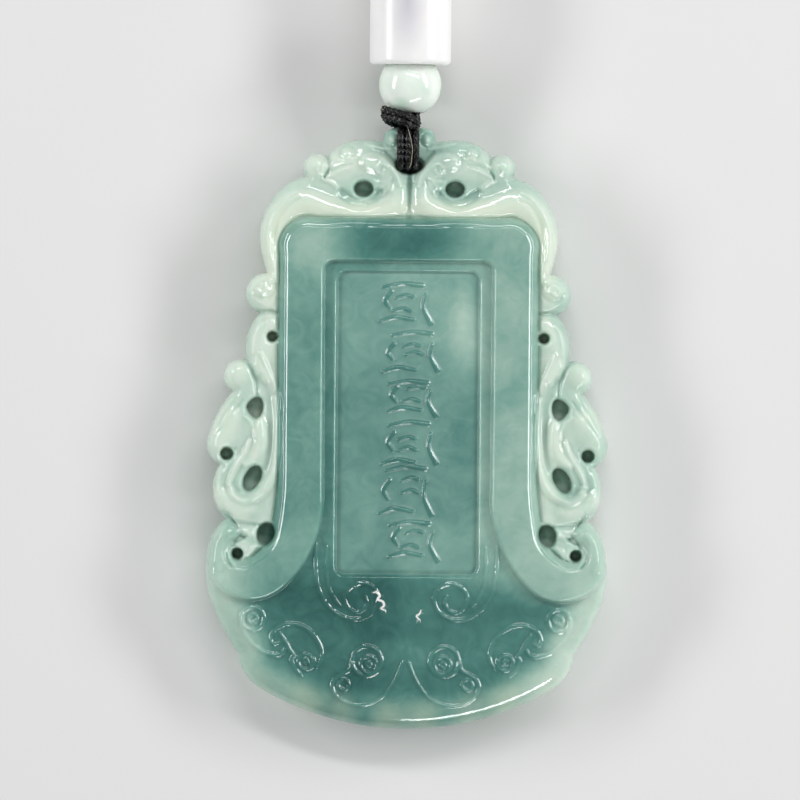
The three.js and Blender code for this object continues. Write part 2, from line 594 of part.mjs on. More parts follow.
function makeTubeBead() {
  const dish = ROUND_BEAD_RADIUS + GAP;
  const dishMiddle = BEAD_NESTING - ROUND_BEAD_RADIUS;
  const inner = Math.acos(BORE_RADIUS / dish);
  const outer = Math.asin(-dishMiddle / dish);
  const corner = TUBE_BEAD_RADIUS - TUBE_BEAD_EDGE;
  return turned([
    ...arcProfile(dishMiddle, dish, inner, outer, 4),
    ...arcProfile(TUBE_BEAD_EDGE, TUBE_BEAD_EDGE, -Math.PI / 2, 0, 3, corner),
    ...arcProfile(TUBE_BEAD_LENGTH - TUBE_BEAD_EDGE, TUBE_BEAD_EDGE, 0, Math.PI / 2, 3, corner),
    [BORE_RADIUS, TUBE_BEAD_LENGTH],
  ], TUBE_BEAD_SIDES);
}

function makeCoil() {
  const half = COIL_HEIGHT / 2;
  const round = CORD_RADIUS;
  const side = (x, y, from) => arcProfile(y, round, from, from + Math.PI / 2, 2, x);
  const ring = turned([
    ...side(COIL_OUTER_RADIUS - round, -half + round, -Math.PI / 2),
    ...side(COIL_OUTER_RADIUS - round, half - round, 0),
    ...side(COIL_INNER_RADIUS + round, half - round, Math.PI / 2),
    ...side(COIL_INNER_RADIUS + round, -half + round, Math.PI),
  ], COIL_SIDES);
  return ring.rotateX(Math.PI / 2);
}

// A round cord along a smooth curve through points in millimetres.
function cordAlong(points, steps) {
  const section = new THREE.Shape(Array.from({ length: CORD_SIDES }, (_, k) => {
    const angle = 2 * Math.PI * (k + 0.5) / CORD_SIDES;
    return new THREE.Vector2(CORD_RADIUS * Math.cos(angle), CORD_RADIUS * Math.sin(angle));
  }));
  const path = new THREE.CatmullRomCurve3(points.map((point) => new THREE.Vector3(...point)));
  return new THREE.ExtrudeGeometry(section, { steps, bevelEnabled: false, extrudePath: path });
}

function solidOf(geometry) {
  const bare = geometry.clone();
  bare.deleteAttribute('normal');
  bare.deleteAttribute('uv');
  const merged = mergeVertices(bare, 1e-5);
  return new wasm.Manifold(new wasm.Mesh({
    numProp: 3,
    vertProperties: new Float32Array(merged.attributes.position.array),
    triVerts: new Uint32Array(merged.index.array),
  }));
}

function geometryOf(solid) {
  const { vertProperties, triVerts } = solid.getMesh();
  const geometry = new THREE.BufferGeometry();
  geometry.setAttribute('position', new THREE.BufferAttribute(vertProperties, 3));
  geometry.setIndex(new THREE.BufferAttribute(triVerts, 1));
  geometry.computeVertexNormals();
  return geometry;
}

// The held part of the cord: two strands through the crest's hole, their knot, and on through the beads.
function makeHeldCord() {
  const knotY = KNOT_MIDDLE_Y;
  const holeY = CORD_HOLE_Y * PART;
  const turn = CORD_DIAMETER;
  const strands = [-STRAND_X, STRAND_X].flatMap((x) => [
    cordAlong([
      [x, knotY, BEAD_AXIS_Z + 0.5], [x, knotY - 0.5, FRONT_STRAND_Z - 0.35],
      [x, knotY - 1.4, FRONT_STRAND_Z],
      [x, holeY + 1.6 * turn, FRONT_STRAND_Z], [x, holeY + 0.75 * turn, FRONT_STRAND_Z - 0.08],
      [x, holeY + 0.12 * turn, FRONT_STRAND_Z - 0.75 * turn], [x, holeY, MIDDLE_Z + 1],
      [x, holeY, MIDDLE_Z - 1], [x, holeY + 0.12 * turn, BACK_STRAND_Z + 0.75 * turn],
      [x, holeY + 0.75 * turn, BACK_STRAND_Z + 0.08], [x, holeY + 1.6 * turn, BACK_STRAND_Z],
      [x, knotY - 1.3, BACK_STRAND_Z], [x, knotY - 0.4, BACK_STRAND_Z + 0.5], [x, knotY, BEAD_AXIS_Z - 0.5],
    ], HELD_CORD_STEPS),
    cordAlong([[x, knotY, BEAD_AXIS_Z], [x, TUBE_END_Y, BEAD_AXIS_Z]], 1),
  ]);
  const knot = new THREE.SphereGeometry(1, 10, 8).scale(...KNOT_RADII).translate(0, knotY, BEAD_AXIS_Z);
  return geometryOf(strands.map(solidOf).reduce((whole, strand) => whole.add(strand), solidOf(knot)));
}

// The free cord leaves the tube bead, falls to the table and goes round the coil.
const NECK_CORD_LEFT = [
  [-STRAND_X, TUBE_END_Y + GAP, BEAD_AXIS_Z], [-STRAND_X, TUBE_END_Y + 1.8, BEAD_AXIS_Z - 0.1],
  [-1.1, TUBE_END_Y + 3.6, 2.9], [-2.8, TUBE_END_Y + 5.6, 1], [-5.4, TUBE_END_Y + 8.2, CORD_RADIUS],
];
const NECK_CORD_RIGHT = [
  [STRAND_X, TUBE_END_Y + GAP, BEAD_AXIS_Z], [STRAND_X, TUBE_END_Y + 1.8, BEAD_AXIS_Z - 0.1],
  [1.1, TUBE_END_Y + 3.4, 2.9], [2.9, TUBE_END_Y + 5.2, 1], [5.4, TUBE_END_Y + 7, CORD_RADIUS],
  [7.5, TUBE_END_Y + 9.4, 0.8],
];

const jade = new THREE.MeshStandardMaterial({ color: 0x9fc7b8, roughness: 0.15, metalness: 0 });
const paleJade = new THREE.MeshStandardMaterial({ color: 0xd7e8da, roughness: 0.15, metalness: 0 });
const milkyJade = new THREE.MeshStandardMaterial({ color: 0xe6e4e8, roughness: 0.2, metalness: 0 });
const blackCord = new THREE.MeshStandardMaterial({ color: 0x141214, roughness: 0.8, metalness: 0 });

const pendant = new THREE.Group();

function addPiece(name, geometry, material, x = 0, y = 0, z = 0) {
  const piece = new THREE.Mesh(geometry, material);
  piece.name = name;
  piece.position.set(x, y, z);
  pendant.add(piece);
}

addPiece('jade_plaque', makePlaque(), jade);
addPiece('round_bead', makeRoundBead(), paleJade, 0, ROUND_BEAD_Y, BEAD_AXIS_Z);
addPiece('tube_bead', makeTubeBead(), milkyJade, 0, TUBE_START_Y, BEAD_AXIS_Z);
addPiece('held_cord', makeHeldCord(), blackCord);
addPiece('neck_cord_left', cordAlong(NECK_CORD_LEFT, 8), blackCord);
addPiece('neck_cord_right', cordAlong(NECK_CORD_RIGHT, 10), blackCord);
addPiece('cord_coil', makeCoil(), blackCord, 0, COIL_MIDDLE_Y, COIL_HEIGHT / 2);

export default pendant;
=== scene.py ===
# %% [markdown]
# A carved jade plaque lies on its back, with two beads and a black braided cord above it.
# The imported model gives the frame: beads and coil are placed from its boxes, and every piece of the
# picture stays inside them.
# Lengths are in metres, +Y runs along the plaque to its crest, and +Z is up out of the carved front.

# %% Load the frame
import json
import math

import bmesh
import bpy
import numpy as np
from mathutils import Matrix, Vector, geometry

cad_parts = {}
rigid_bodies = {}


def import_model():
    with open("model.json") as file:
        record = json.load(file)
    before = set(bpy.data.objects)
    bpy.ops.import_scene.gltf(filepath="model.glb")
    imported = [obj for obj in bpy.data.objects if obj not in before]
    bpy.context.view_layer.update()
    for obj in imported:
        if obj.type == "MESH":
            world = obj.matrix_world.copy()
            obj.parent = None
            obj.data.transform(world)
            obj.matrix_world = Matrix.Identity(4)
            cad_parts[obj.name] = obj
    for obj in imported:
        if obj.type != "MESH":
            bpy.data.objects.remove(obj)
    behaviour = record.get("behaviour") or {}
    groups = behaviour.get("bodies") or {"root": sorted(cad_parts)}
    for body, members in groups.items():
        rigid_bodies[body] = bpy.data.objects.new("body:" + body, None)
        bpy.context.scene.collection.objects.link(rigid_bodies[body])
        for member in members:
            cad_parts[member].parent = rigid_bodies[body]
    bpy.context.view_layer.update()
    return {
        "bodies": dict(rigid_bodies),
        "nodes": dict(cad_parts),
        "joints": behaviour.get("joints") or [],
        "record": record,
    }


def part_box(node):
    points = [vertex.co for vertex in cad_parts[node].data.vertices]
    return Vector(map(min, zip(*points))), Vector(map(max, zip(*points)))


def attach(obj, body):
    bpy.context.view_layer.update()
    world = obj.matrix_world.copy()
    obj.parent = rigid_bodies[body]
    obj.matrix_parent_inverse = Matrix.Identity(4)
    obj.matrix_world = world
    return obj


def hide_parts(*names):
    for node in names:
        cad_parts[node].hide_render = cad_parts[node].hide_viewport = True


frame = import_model()
plaque_low, plaque_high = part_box("jade_plaque")
bead_low, bead_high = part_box("round_bead")
tube_low, tube_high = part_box("tube_bead")
coil_low, coil_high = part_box("cord_coil")
print("plaque", [round(1000 * (b - a), 2) for a, b in zip(plaque_low, plaque_high)], "mm")

# %% [markdown]
# The photograph looks straight at the carved front, so the camera looks straight down on the lying
# plaque. A camera without perspective would hide every wall of the openings, and a short lens would
# bend the sides outwards, so a long lens is used from a metre away. The carver's middle line leans
# by half a degree in the picture, and the camera is rolled by as much.

# %% Camera
FRAME_WIDTH = 0.080
CAMERA_DISTANCE = 1.0
SENSOR_WIDTH = 0.036
ROLL = math.radians(0.46)
VIEW_CENTRE = (-0.00077, 0.00290, 0.006)

camera_data = bpy.data.cameras.new("camera")
camera_data.sensor_width = 1000 * SENSOR_WIDTH
camera_data.lens = 1000 * SENSOR_WIDTH * CAMERA_DISTANCE / FRAME_WIDTH
camera_data.clip_start = 0.01
camera = bpy.data.objects.new("camera", camera_data)
camera.location = (VIEW_CENTRE[0], VIEW_CENTRE[1], VIEW_CENTRE[2] + CAMERA_DISTANCE)
camera.rotation_euler = (0, 0, ROLL)
bpy.context.scene.collection.objects.link(camera)
bpy.context.scene.camera = camera
print("lens", round(camera_data.lens), "mm")

# %% [markdown]
# The pendant lies on a plain pale floor. A plane does for it, with a rough and even shader, so that
# nothing but the pendant draws the eye. Every material below starts from the same helper, which
# turns the nodes on and hands out the shader.

# %% A material with nodes, and the floor
def node_material(name):
    material = bpy.data.materials.new(name)
    material.use_nodes = True
    nodes = material.node_tree.nodes
    return material, nodes, material.node_tree.links, nodes["Principled BSDF"]


FLOOR_SIZE = 3
bpy.ops.mesh.primitive_plane_add(size=FLOOR_SIZE)
floor = bpy.context.object
floor.name = "floor"
floor_material, _, _, floor_shader = node_material("pale floor")
floor_shader.inputs["Base Color"].default_value = (0.78, 0.78, 0.77, 1)
floor_shader.inputs["Roughness"].default_value = 0.9
floor.data.materials.append(floor_material)
print("floor", FLOOR_SIZE, "m wide")

# %% [markdown]
# Polished jade shows its carving by the reflections of lamps. Large soft lamps stand at the sides,
# so that the level faces keep their own colour and each ridge draws a bright line: a facet that is
# tilted by 31 degrees sends a lamp at 28 degrees straight up. The upper lamp stands higher, because
# the frame's upper edge is dull in the photograph. The sky is a weak even grey.

# %% Lamps and sky
LAMP_DISTANCE = 0.45
LAMP_GLOW = 12.5
SKY_STRENGTH = 0.18
# A lamp is its direction from the plaque, and its width and height.
LAMPS = {
    "left lamp": ((-0.84, 0.20, 0.46), (0.32, 0.080)),
    "right lamp": ((0.82, 0.26, 0.48), (0.32, 0.080)),
    "top lamp": ((0.15, 0.60, 0.78), (0.34, 0.045)),
    "lower lamp": ((0.30, -0.82, 0.46), (0.30, 0.060)),
}
for name, (direction, size) in LAMPS.items():
    data = bpy.data.lights.new(name, "AREA")
    data.shape = "RECTANGLE"
    data.size, data.size_y = size
    data.energy = LAMP_GLOW * math.pi * size[0] * size[1]
    lamp = bpy.data.objects.new(name, data)
    lamp.location = Vector(direction).normalized() * LAMP_DISTANCE
    lamp.rotation_euler = (-lamp.location).to_track_quat("-Z", "Y").to_euler()
    bpy.context.scene.collection.objects.link(lamp)

world = bpy.data.worlds.new("studio")
world.use_nodes = True
world.node_tree.nodes["Background"].inputs["Color"].default_value = (0.95, 0.97, 1.0, 1)
world.node_tree.nodes["Background"].inputs["Strength"].default_value = SKY_STRENGTH
bpy.context.scene.world = world
bpy.context.scene.view_settings.view_transform = "Standard"

# %% [markdown]
# A limp cord never has a corner, so its route is drawn with a few points and smoothed between them.
# Blender's own curve could do that, but it spaces its points unevenly, and the plaits have to keep
# their pitch. So the smooth line is worked out here and cut into even steps. The same function
# smooths the carved strokes further down.

# %% A smooth path
CORD_RADIUS = 0.0005
SMOOTHING = 24


def smooth_path(points, step):
    """Evenly spaced points on a smooth curve through the given ones, and its length."""
    points = np.array(points, float)
    before = 2 * points[0] - points[1]
    after = 2 * points[-1] - points[-2]
    around = np.vstack([before, points, after])
    fine = []
    for p0, p1, p2, p3 in zip(around, around[1:], around[2:], around[3:]):
        for t in np.linspace(0, 1, SMOOTHING, endpoint=False):
            fine.append(0.5 * (2 * p1 + (p2 - p0) * t + (2 * p0 - 5 * p1 + 4 * p2 - p3) * t ** 2
                               + (3 * p1 - p0 - 3 * p2 + p3) * t ** 3))
    fine = np.array(fine + [points[-1]])
    run = np.concatenate([[0], np.cumsum(np.linalg.norm(np.diff(fine, axis=0), axis=1))])
    even = np.linspace(0, run[-1], max(2, round(run[-1] / step) + 1))
    return np.stack([np.interp(even, run, fine[:, k]) for k in range(3)], 1), run[-1]


print("a straight path of 1 mm has", len(smooth_path([(0, 0, 0), (0.001, 0, 0)], 0.0001)[0]), "points")

# %% [markdown]
# The cord is one millimetre of black silk, plaited round. A plaited cord shows a net of small
# lozenges. Winding every plait would cost a great many faces, so the cord's mesh is a tube whose
# wall swells where two plaits cross. The strands at the plaque and the neck cord are made alike.

# %% A plaited tube
PLAITS = 6
PLAIT_PITCH = 0.0012
PLAIT_DEPTH = 0.28                   # the hollows between the plaits, as a share of the radius
SIDEWAYS = (0.31, 0.17, 0.93)        # a direction that no cord starts in


def plaited_tube(path, radius, sides):
    """Vertices and faces of a plaited cord along evenly spaced points."""
    along = np.gradient(path, axis=0)
    along /= np.linalg.norm(along, axis=1)[:, None]
    normal = np.zeros_like(path)
    start = np.cross(along[0], SIDEWAYS)
    normal[0] = start / np.linalg.norm(start)
    for k in range(1, len(path)):
        turned = normal[k - 1] - along[k] * np.dot(normal[k - 1], along[k])
        normal[k] = turned / np.linalg.norm(turned)
    other = np.cross(along, normal)
    run = np.concatenate([[0], np.cumsum(np.linalg.norm(np.diff(path, axis=0), axis=1))])
    angle = np.linspace(0, 2 * math.pi, sides, endpoint=False)[None, :]
    phase = 2 * math.pi * run[:, None] / PLAIT_PITCH
    crossing = np.cos(PLAITS / 2 * angle + phase) * np.cos(PLAITS / 2 * angle - phase)
    reach = radius * (1 - PLAIT_DEPTH + PLAIT_DEPTH * np.abs(crossing))[:, :, None]
    ring = np.cos(angle)[:, :, None] * normal[:, None] + np.sin(angle)[:, :, None] * other[:, None]
    vertices = (path[:, None] + reach * ring).reshape(-1, 3)
    k, s = np.meshgrid(np.arange(len(path) - 1), np.arange(sides), indexing="ij")
    n = (s + 1) % sides
    faces = np.stack([k * sides + s, k * sides + n, (k + 1) * sides + n, (k + 1) * sides + s], -1)
    faces = faces.reshape(-1, 4).tolist()
    last = (len(path) - 1) * sides
    faces += [list(range(sides))[::-1], list(range(last, last + sides))]
    return vertices, faces


def mesh_piece(name, vertices, faces, material):
    mesh = bpy.data.meshes.new(name)
    mesh.from_pydata([tuple(v) for v in vertices], [], faces)
    mesh.validate()
    mesh.shade_smooth()
    mesh.materials.append(material)
    piece = bpy.data.objects.new(name, mesh)
    bpy.context.scene.collection.objects.link(piece)
    return piece


print("plaits", PLAITS, "with a pitch of", 1000 * PLAIT_PITCH, "mm")

# %% [markdown]
# A real surface is never of one tone, so each material below is a noise that runs through a ramp of
# tones. A painted picture could do as well, but it needs a flat layout of each piece and shows its
# seams. The three helpers make the noise, the ramp and the arithmetic between them.

# %% Noise, tones and arithmetic
def add_noise(nodes, links, place, scale, detail, distortion=0.0):
    """A noise on the piece's own coordinates."""
    noise = nodes.new("ShaderNodeTexNoise")
    noise.inputs["Scale"].default_value = scale
    noise.inputs["Detail"].default_value = detail
    noise.inputs["Distortion"].default_value = distortion
    links.new(place.outputs["Object"], noise.inputs["Vector"])
    return noise


def add_math(nodes, links, operation, first, second, third=None):
    """A math node whose inputs are sockets or numbers."""
    node = nodes.new("ShaderNodeMath")
    node.operation = operation
    for socket, value in zip(node.inputs, (first, second, third)):
        if isinstance(value, (int, float)):
            socket.default_value = value
        elif value is not None:
            links.new(value, socket)
    return node.outputs["Value"]


def add_tones(nodes, links, share, tones):
    """A ramp's colour at a share; each tone is its place on the ramp and its colour."""
    node = nodes.new("ShaderNodeValToRGB")
    elements = node.color_ramp.elements
    for place, colour in tones[1:-1]:
        elements.new(place).color = (*colour, 1)
    for end in (0, -1):
        elements[end].position, elements[end].color = tones[end][0], (*tones[end][1], 1)
    links.new(share, node.inputs["Fac"])
    return node.outputs["Color"]


print("helpers are ready")

# %% [markdown]
# Black silk isn't quite black: each plait has a dull sheen, and dust and wear make it uneven.
# The tube's wall already has the plaits, so the material only needs what is smaller: a fine noise
# drives the colour and the roughness, with a bump for the single threads.

# %% Black silk
SILK_TONES = [(0, (0.001, 0.001, 0.001)), (1, (0.005, 0.005, 0.006))]


def make_black_cord():
    material, nodes, links, shader = node_material("black plaited silk")
    place = nodes.new("ShaderNodeTexCoord")
    noise = add_noise(nodes, links, place, 5200, 3)
    colour = add_tones(nodes, links, noise.outputs["Fac"], SILK_TONES)
    links.new(colour, shader.inputs["Base Color"])
    rough = add_math(nodes, links, "MULTIPLY_ADD", noise.outputs["Fac"], 0.22, 0.14)
    links.new(rough, shader.inputs["Roughness"])
    shader.inputs["Specular IOR Level"].default_value = 0.35
    bump = nodes.new("ShaderNodeBump")
    bump.inputs["Strength"].default_value = 0.5
    bump.inputs["Distance"].default_value = 0.00006
    links.new(noise.outputs["Fac"], bump.inputs["Height"])
    links.new(bump.outputs["Normal"], shader.inputs["Normal"])
    return material


black_cord = make_black_cord()
print("material", black_cord.name)

# %% [markdown]
# The neck cord is a loop of about 0.6 m. The photograph shows only its start, so the rest is wound
# into a coil beyond the tube bead. Both ends leave the bead side by side, fall to the table under
# their own weight and meet the coil on its two sides. The coil is wound as by hand: four layers,
# each one a flat spiral, one cord's thickness above the last. A heap of loose loops would look
# as real, but it would lie across itself, and a coil can be drawn so that no turn cuts another.

# %% The neck cord
STRAND_X = 0.00055
GAP = 0.00032
COIL_LAYERS = 4
COIL_TURNS_IN_LAYER = 3.625
POINTS_IN_TURN = 24
CLIMB_FROM = 0.88                    # the share of a layer after which the cord climbs to the next
TUBE_END = tube_high[1]
BEAD_AXIS_Z = (tube_low[2] + tube_high[2]) / 2
COIL_CENTRE = ((coil_low[0] + coil_high[0]) / 2, (coil_low[1] + coil_high[1]) / 2)
COIL_OUTER = (coil_high[0] - coil_low[0]) / 2 - CORD_RADIUS
COIL_WIDTH = 0.003                   # from the innermost turn's middle to the outermost's
COIL_INNER = COIL_OUTER - COIL_WIDTH

neck_cord_left = [
    (-STRAND_X, TUBE_END + GAP, BEAD_AXIS_Z), (-STRAND_X, TUBE_END + 0.0018, BEAD_AXIS_Z - 0.0001),
    (-0.0011, TUBE_END + 0.0036, 0.0029), (-0.0028, TUBE_END + 0.0056, 0.0010),
    (-0.0054, TUBE_END + 0.0082, CORD_RADIUS), (-0.0071, TUBE_END + 0.0112, CORD_RADIUS),
]
neck_cord_right = [
    (STRAND_X, TUBE_END + GAP, BEAD_AXIS_Z), (STRAND_X, TUBE_END + 0.0018, BEAD_AXIS_Z - 0.0001),
    (0.0011, TUBE_END + 0.0034, 0.0029), (0.0029, TUBE_END + 0.0052, 0.0010),
    (0.0054, TUBE_END + 0.0070, CORD_RADIUS), (0.0075, TUBE_END + 0.0094, 0.0008),
    (0.0080, TUBE_END + 0.0122, 0.0021),
]


def coil_points():
    """A clockwise winding from the coil's left side to its right side, layer upon layer."""
    points = []
    angle = math.pi
    for layer in range(COIL_LAYERS):
        count = round(COIL_TURNS_IN_LAYER * POINTS_IN_TURN)
        for k in range(count):
            share = k / count
            inwards = share if layer % 2 == 0 else 1 - share
            radius = COIL_OUTER + (COIL_INNER - COIL_OUTER) * inwards
            lift = max(0.0, (share - CLIMB_FROM) / (1 - CLIMB_FROM))
            height = CORD_RADIUS * (1 + 2 * min(layer + lift, COIL_LAYERS - 1))
            points.append((COIL_CENTRE[0] + radius * math.cos(angle),
                           COIL_CENTRE[1] + radius * math.sin(angle), height))
            angle -= 2 * math.pi / POINTS_IN_TURN
    return points


neck_route = neck_cord_left + coil_points() + neck_cord_right[::-1]
neck_path, neck_length = smooth_path(neck_route, 0.00030)
neck_vertices, neck_faces = plaited_tube(neck_path, CORD_RADIUS, 12)
neck_cord = mesh_piece("neck_cord", neck_vertices, neck_faces, black_cord)
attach(neck_cord, "root")
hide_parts("neck_cord_left", "neck_cord_right", "cord_coil")
print("neck cord", round(neck_length, 3), "m,", len(neck_faces), "faces")

# %% [markdown]
# Beads are turned on a lathe and polished on all sides. In Blender a sphere or a cylinder would do
# for the outside, but not for the bore, so each bead is one closed profile spun about the cord.

# %% Turning a bead
BEAD_STEPS = 96
BORE_RADIUS = STRAND_X + CORD_RADIUS + GAP


def turned_bead(name, profile, centre_y, material):
    """Spins a closed profile of [radius, y] about the cord's line."""
    mesh = bmesh.new()
    loop = [mesh.verts.new((radius, centre_y + y, BEAD_AXIS_Z)) for radius, y in profile]
    edges = [mesh.edges.new((a, b)) for a, b in zip(loop, loop[1:] + loop[:1])]
    bmesh.ops.spin(mesh, geom=loop + edges, cent=(0, 0, BEAD_AXIS_Z), axis=(0, 1, 0),
                   angle=2 * math.pi, steps=BEAD_STEPS, use_merge=True)
    bmesh.ops.remove_doubles(mesh, verts=mesh.verts, dist=1e-7)
    bmesh.ops.recalc_face_normals(mesh, faces=mesh.faces)
    data = bpy.data.meshes.new(name)
    mesh.to_mesh(data)
    mesh.free()
    data.shade_smooth()
    data.materials.append(material)
    piece = bpy.data.objects.new(name, data)
    bpy.context.scene.collection.objects.link(piece)
    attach(piece, "root")
    return piece


def arc(centre_radius, centre_y, radius, start, end, count):
    """Points of [radius, y] on an arc."""
    angles = [start + (end - start) * k / count for k in range(count + 1)]
    return [(centre_radius + radius * math.cos(a), centre_y + radius * math.sin(a)) for a in angles]


print("bore", round(2000 * BORE_RADIUS, 2), "mm")

# %% [markdown]
# The beads are pale jade without any carving, so the stone itself is all that there is to see. It
# has two pale tones in soft clouds and one spot of colour each: a green fleck of the stone in the
# round bead, and in the tube bead a painted grey shade where the black cord inside the bore shows
# through the milky stone. The spot is a share that falls with the distance from one point, so it
# needs no picture. Light spreads under the surface, which a milky stone shows.

# %% Pale jade for beads
def add_mix(nodes, links, share, colour, second):
    """One colour over another by a share."""
    node = nodes.new("ShaderNodeMix")
    node.data_type = "RGBA"
    links.new(share, node.inputs["Factor"])
    links.new(colour, node.inputs["A"])
    node.inputs["B"].default_value = second
    return node.outputs["Result"]


def make_bead_jade(name, low, high, glow, gloss, fleck_and_shade):
    """Two tones of stone, how far light spreads in it, its roughness, and one spot of colour, which is a
    real fleck in the round bead and a painted shade in the tube bead.
    """
    material, nodes, links, shader = node_material(name)
    place = nodes.new("ShaderNodeTexCoord")
    noise = add_noise(nodes, links, place, 260, 5, 1.2)
    colour = add_tones(nodes, links, noise.outputs["Fac"], [(0.3, low), (0.65, high)])
    squeezed = nodes.new("ShaderNodeVectorMath")
    squeezed.operation = "MULTIPLY"
    squeezed.inputs[1].default_value = fleck_and_shade["squeeze"]
    links.new(place.outputs["Object"], squeezed.inputs[0])
    centre = nodes.new("ShaderNodeVectorMath")
    centre.operation = "DISTANCE"
    centre.inputs[1].default_value = [a * b for a, b in zip(fleck_and_shade["place"], fleck_and_shade["squeeze"])]
    links.new(squeezed.outputs["Vector"], centre.inputs[0])
    near = nodes.new("ShaderNodeMapRange")
    near.inputs["From Min"].default_value = 0
    near.inputs["From Max"].default_value = fleck_and_shade["reach"]
    near.inputs["To Min"].default_value = fleck_and_shade["strength"]
    near.inputs["To Max"].default_value = 0
    links.new(centre.outputs["Value"], near.inputs["Value"])
    with_fleck_and_shade = add_mix(nodes, links, near.outputs["Result"], colour, (*fleck_and_shade["colour"], 1))
    links.new(with_fleck_and_shade, shader.inputs["Base Color"])
    shader.inputs["Roughness"].default_value = gloss
    shader.inputs["IOR"].default_value = 1.6
    shader.inputs["Subsurface Weight"].default_value = 0.6
    shader.inputs["Subsurface Radius"].default_value = [glow] * 3
    shader.inputs["Subsurface Scale"].default_value = 1
    return material


print("bead jade is ready")

# %% [markdown]
# The round bead sits in the dished end of the tube bead. The dish could be cut out with a second
# sphere, but it's simply a part of the profile: an arc about the round bead's own centre, a small
# gap wider. The tube's ends have a narrow rounded edge, as a polisher leaves it.

# %% The two beads
TUBE_EDGE = 0.0005
round_radius = (bead_high[2] - bead_low[2]) / 2
round_centre = (bead_low[1] + bead_high[1]) / 2
mouth = math.acos(BORE_RADIUS / round_radius)
pale_jade = make_bead_jade("pale bead jade", (0.74, 0.87, 0.76), (0.88, 0.95, 0.87), 0.0015, 0.14, {
    "colour": (0.30, 0.60, 0.40), "place": (-0.0008, round_centre - 0.0021, BEAD_AXIS_Z + 0.0022),
    "reach": 0.0011, "strength": 0.5, "squeeze": (1, 1, 1),
})
round_bead = turned_bead("round_bead_polished", arc(0, 0, round_radius, -mouth, mouth, 64), round_centre,
                         pale_jade)
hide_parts("round_bead")

tube_radius = (tube_high[2] - tube_low[2]) / 2
tube_length = tube_high[1] - tube_low[1]
dish_radius = round_radius + GAP
dish_centre = round_centre - tube_low[1]
dish_inner = math.acos(BORE_RADIUS / dish_radius)
dish_outer = math.asin(-dish_centre / dish_radius)
corner = tube_radius - TUBE_EDGE
tube_profile = (arc(0, dish_centre, dish_radius, dish_inner, dish_outer, 16)
                + arc(corner, TUBE_EDGE, TUBE_EDGE, -math.pi / 2, 0, 8)
                + arc(corner, tube_length - TUBE_EDGE, TUBE_EDGE, 0, math.pi / 2, 8)
                + [(BORE_RADIUS + 0.0002, tube_length), (BORE_RADIUS, tube_length - 0.0002)])
# The tube bead's grey spot is painted shade: the black cord in the bore showing through the milky stone.
milky_jade = make_bead_jade("milky bead jade", (0.93, 0.92, 0.91), (0.97, 0.95, 0.93), 0.0020, 0.3, {
    "colour": (0.56, 0.55, 0.62), "place": (-0.0003, 0.0425, tube_high[2]),
    "reach": 0.0058, "strength": 0.75, "squeeze": (2.6, 1, 1),
})
tube_bead = turned_bead("tube_bead_polished", tube_profile, tube_low[1], milky_jade)
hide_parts("tube_bead")
print("round bead", round(2000 * round_radius, 2), "mm, tube bead", round(2000 * tube_radius, 2), "mm")

# %% [markdown]
# The plaque was sawn, pierced and then carved with small grinding wheels, so its relief is a few
# levels with rounded strokes cut into them or left standing. The mesh is made in the same way: a
# height is worked out for each point of the face. It is drawn in parts of a tenth of a millimetre,
# and one side is drawn and mirrored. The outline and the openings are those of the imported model.

# %% The drawing of the plaque
PLAQUE_LENGTH = 0.0601
THICKNESS = 0.007
PART = PLAQUE_LENGTH / 601
MIDDLE_Z = THICKNESS / 2

# A point is x, y and the bow of the arc that leads to the next point.
OUTLINE = [
    (0, 300, 0.5), (8, 300.5, 7), (26, 287.5, 1.6), (60, 288, 2.2), (82.5, 272.3, 13),
    (103.8, 252.5, 5), (140, 225, 4.2), (148.6, 181, 0.3), (142, 155.5, 17.5),
    (149, 115, 2), (161.8, 89, 1), (161.3, 68.5, 16), (175.7, 36, 3), (198.6, -6, 6.8),
    (188, -37, 9.3), (182.3, -91.5, 3), (199, -119.5, 3.6), (195.5, -174, 1.6),
    (168, -226, 2.2), (158, -250, 1), (145, -261, 10.05), (0, -300.5, 0),
]
# An opening is its middle, half its width and height, its lean in degrees and how pointed it is.
OPENINGS = [
    (45.8, 240, 9, 7.2, 0, 0), (136, 91.5, 4.4, 4.4, 0, 0), (153, 20.5, 9.4, 7.8, -85, 0.35),
    (181, -26, 5.5, 5.5, 0, 0), (155, -50.5, 7.4, 12.7, 28, 0), (140.8, -105.8, 8, 10.2, 14, 0),
    (169.3, -126, 4.7, 4.7, 0, 0),
]
CORD_HOLE = (0, 263.8, 12.6, 7.2, 0, 0)
FRAME_OUTSIDE = [
    (0, 202.5, 0), (94, 202.5, 11.4), (121.5, 175, 0), (121.5, -45, -1.6), (127.5, -107, -0.8),
    (134, -121, -1.5), (157, -139.5, -7), (181, -127, -4), (176, -106, 0), (184, -92, 0),
    (230, -92, 0), (230, -330, 0), (0, -330, 0),
]
FRAME_INSIDE = [
    (0, 168, 0), (75, 168, 3), (85, 158, 0), (84.5, -60, -12.5), (125, -160.5, -13.5),
    (190, -156, 0), (225, -120, 0), (225, -330, 0), (0, -330, 0),
]
PANEL = [(0, 157, 0), (62, 157, 2.64), (71, 148, 0), (71, -137, 2.64), (62, -146, 0), (0, -146, 0)]
print("outline points drawn", len(OUTLINE), "openings", 2 * len(OPENINGS) + 1)

# %% [markdown]
# A carver draws such an outline with a few sweeps, so it is kept as arcs between drawn points. The
# helpers turn the arcs into fine rings, and mirror them. An opening is an oval that may lean and
# may be drawn to a point, as the drill and the file leave it.

# %% Rings from the drawing
EDGE_STEP = 1.6


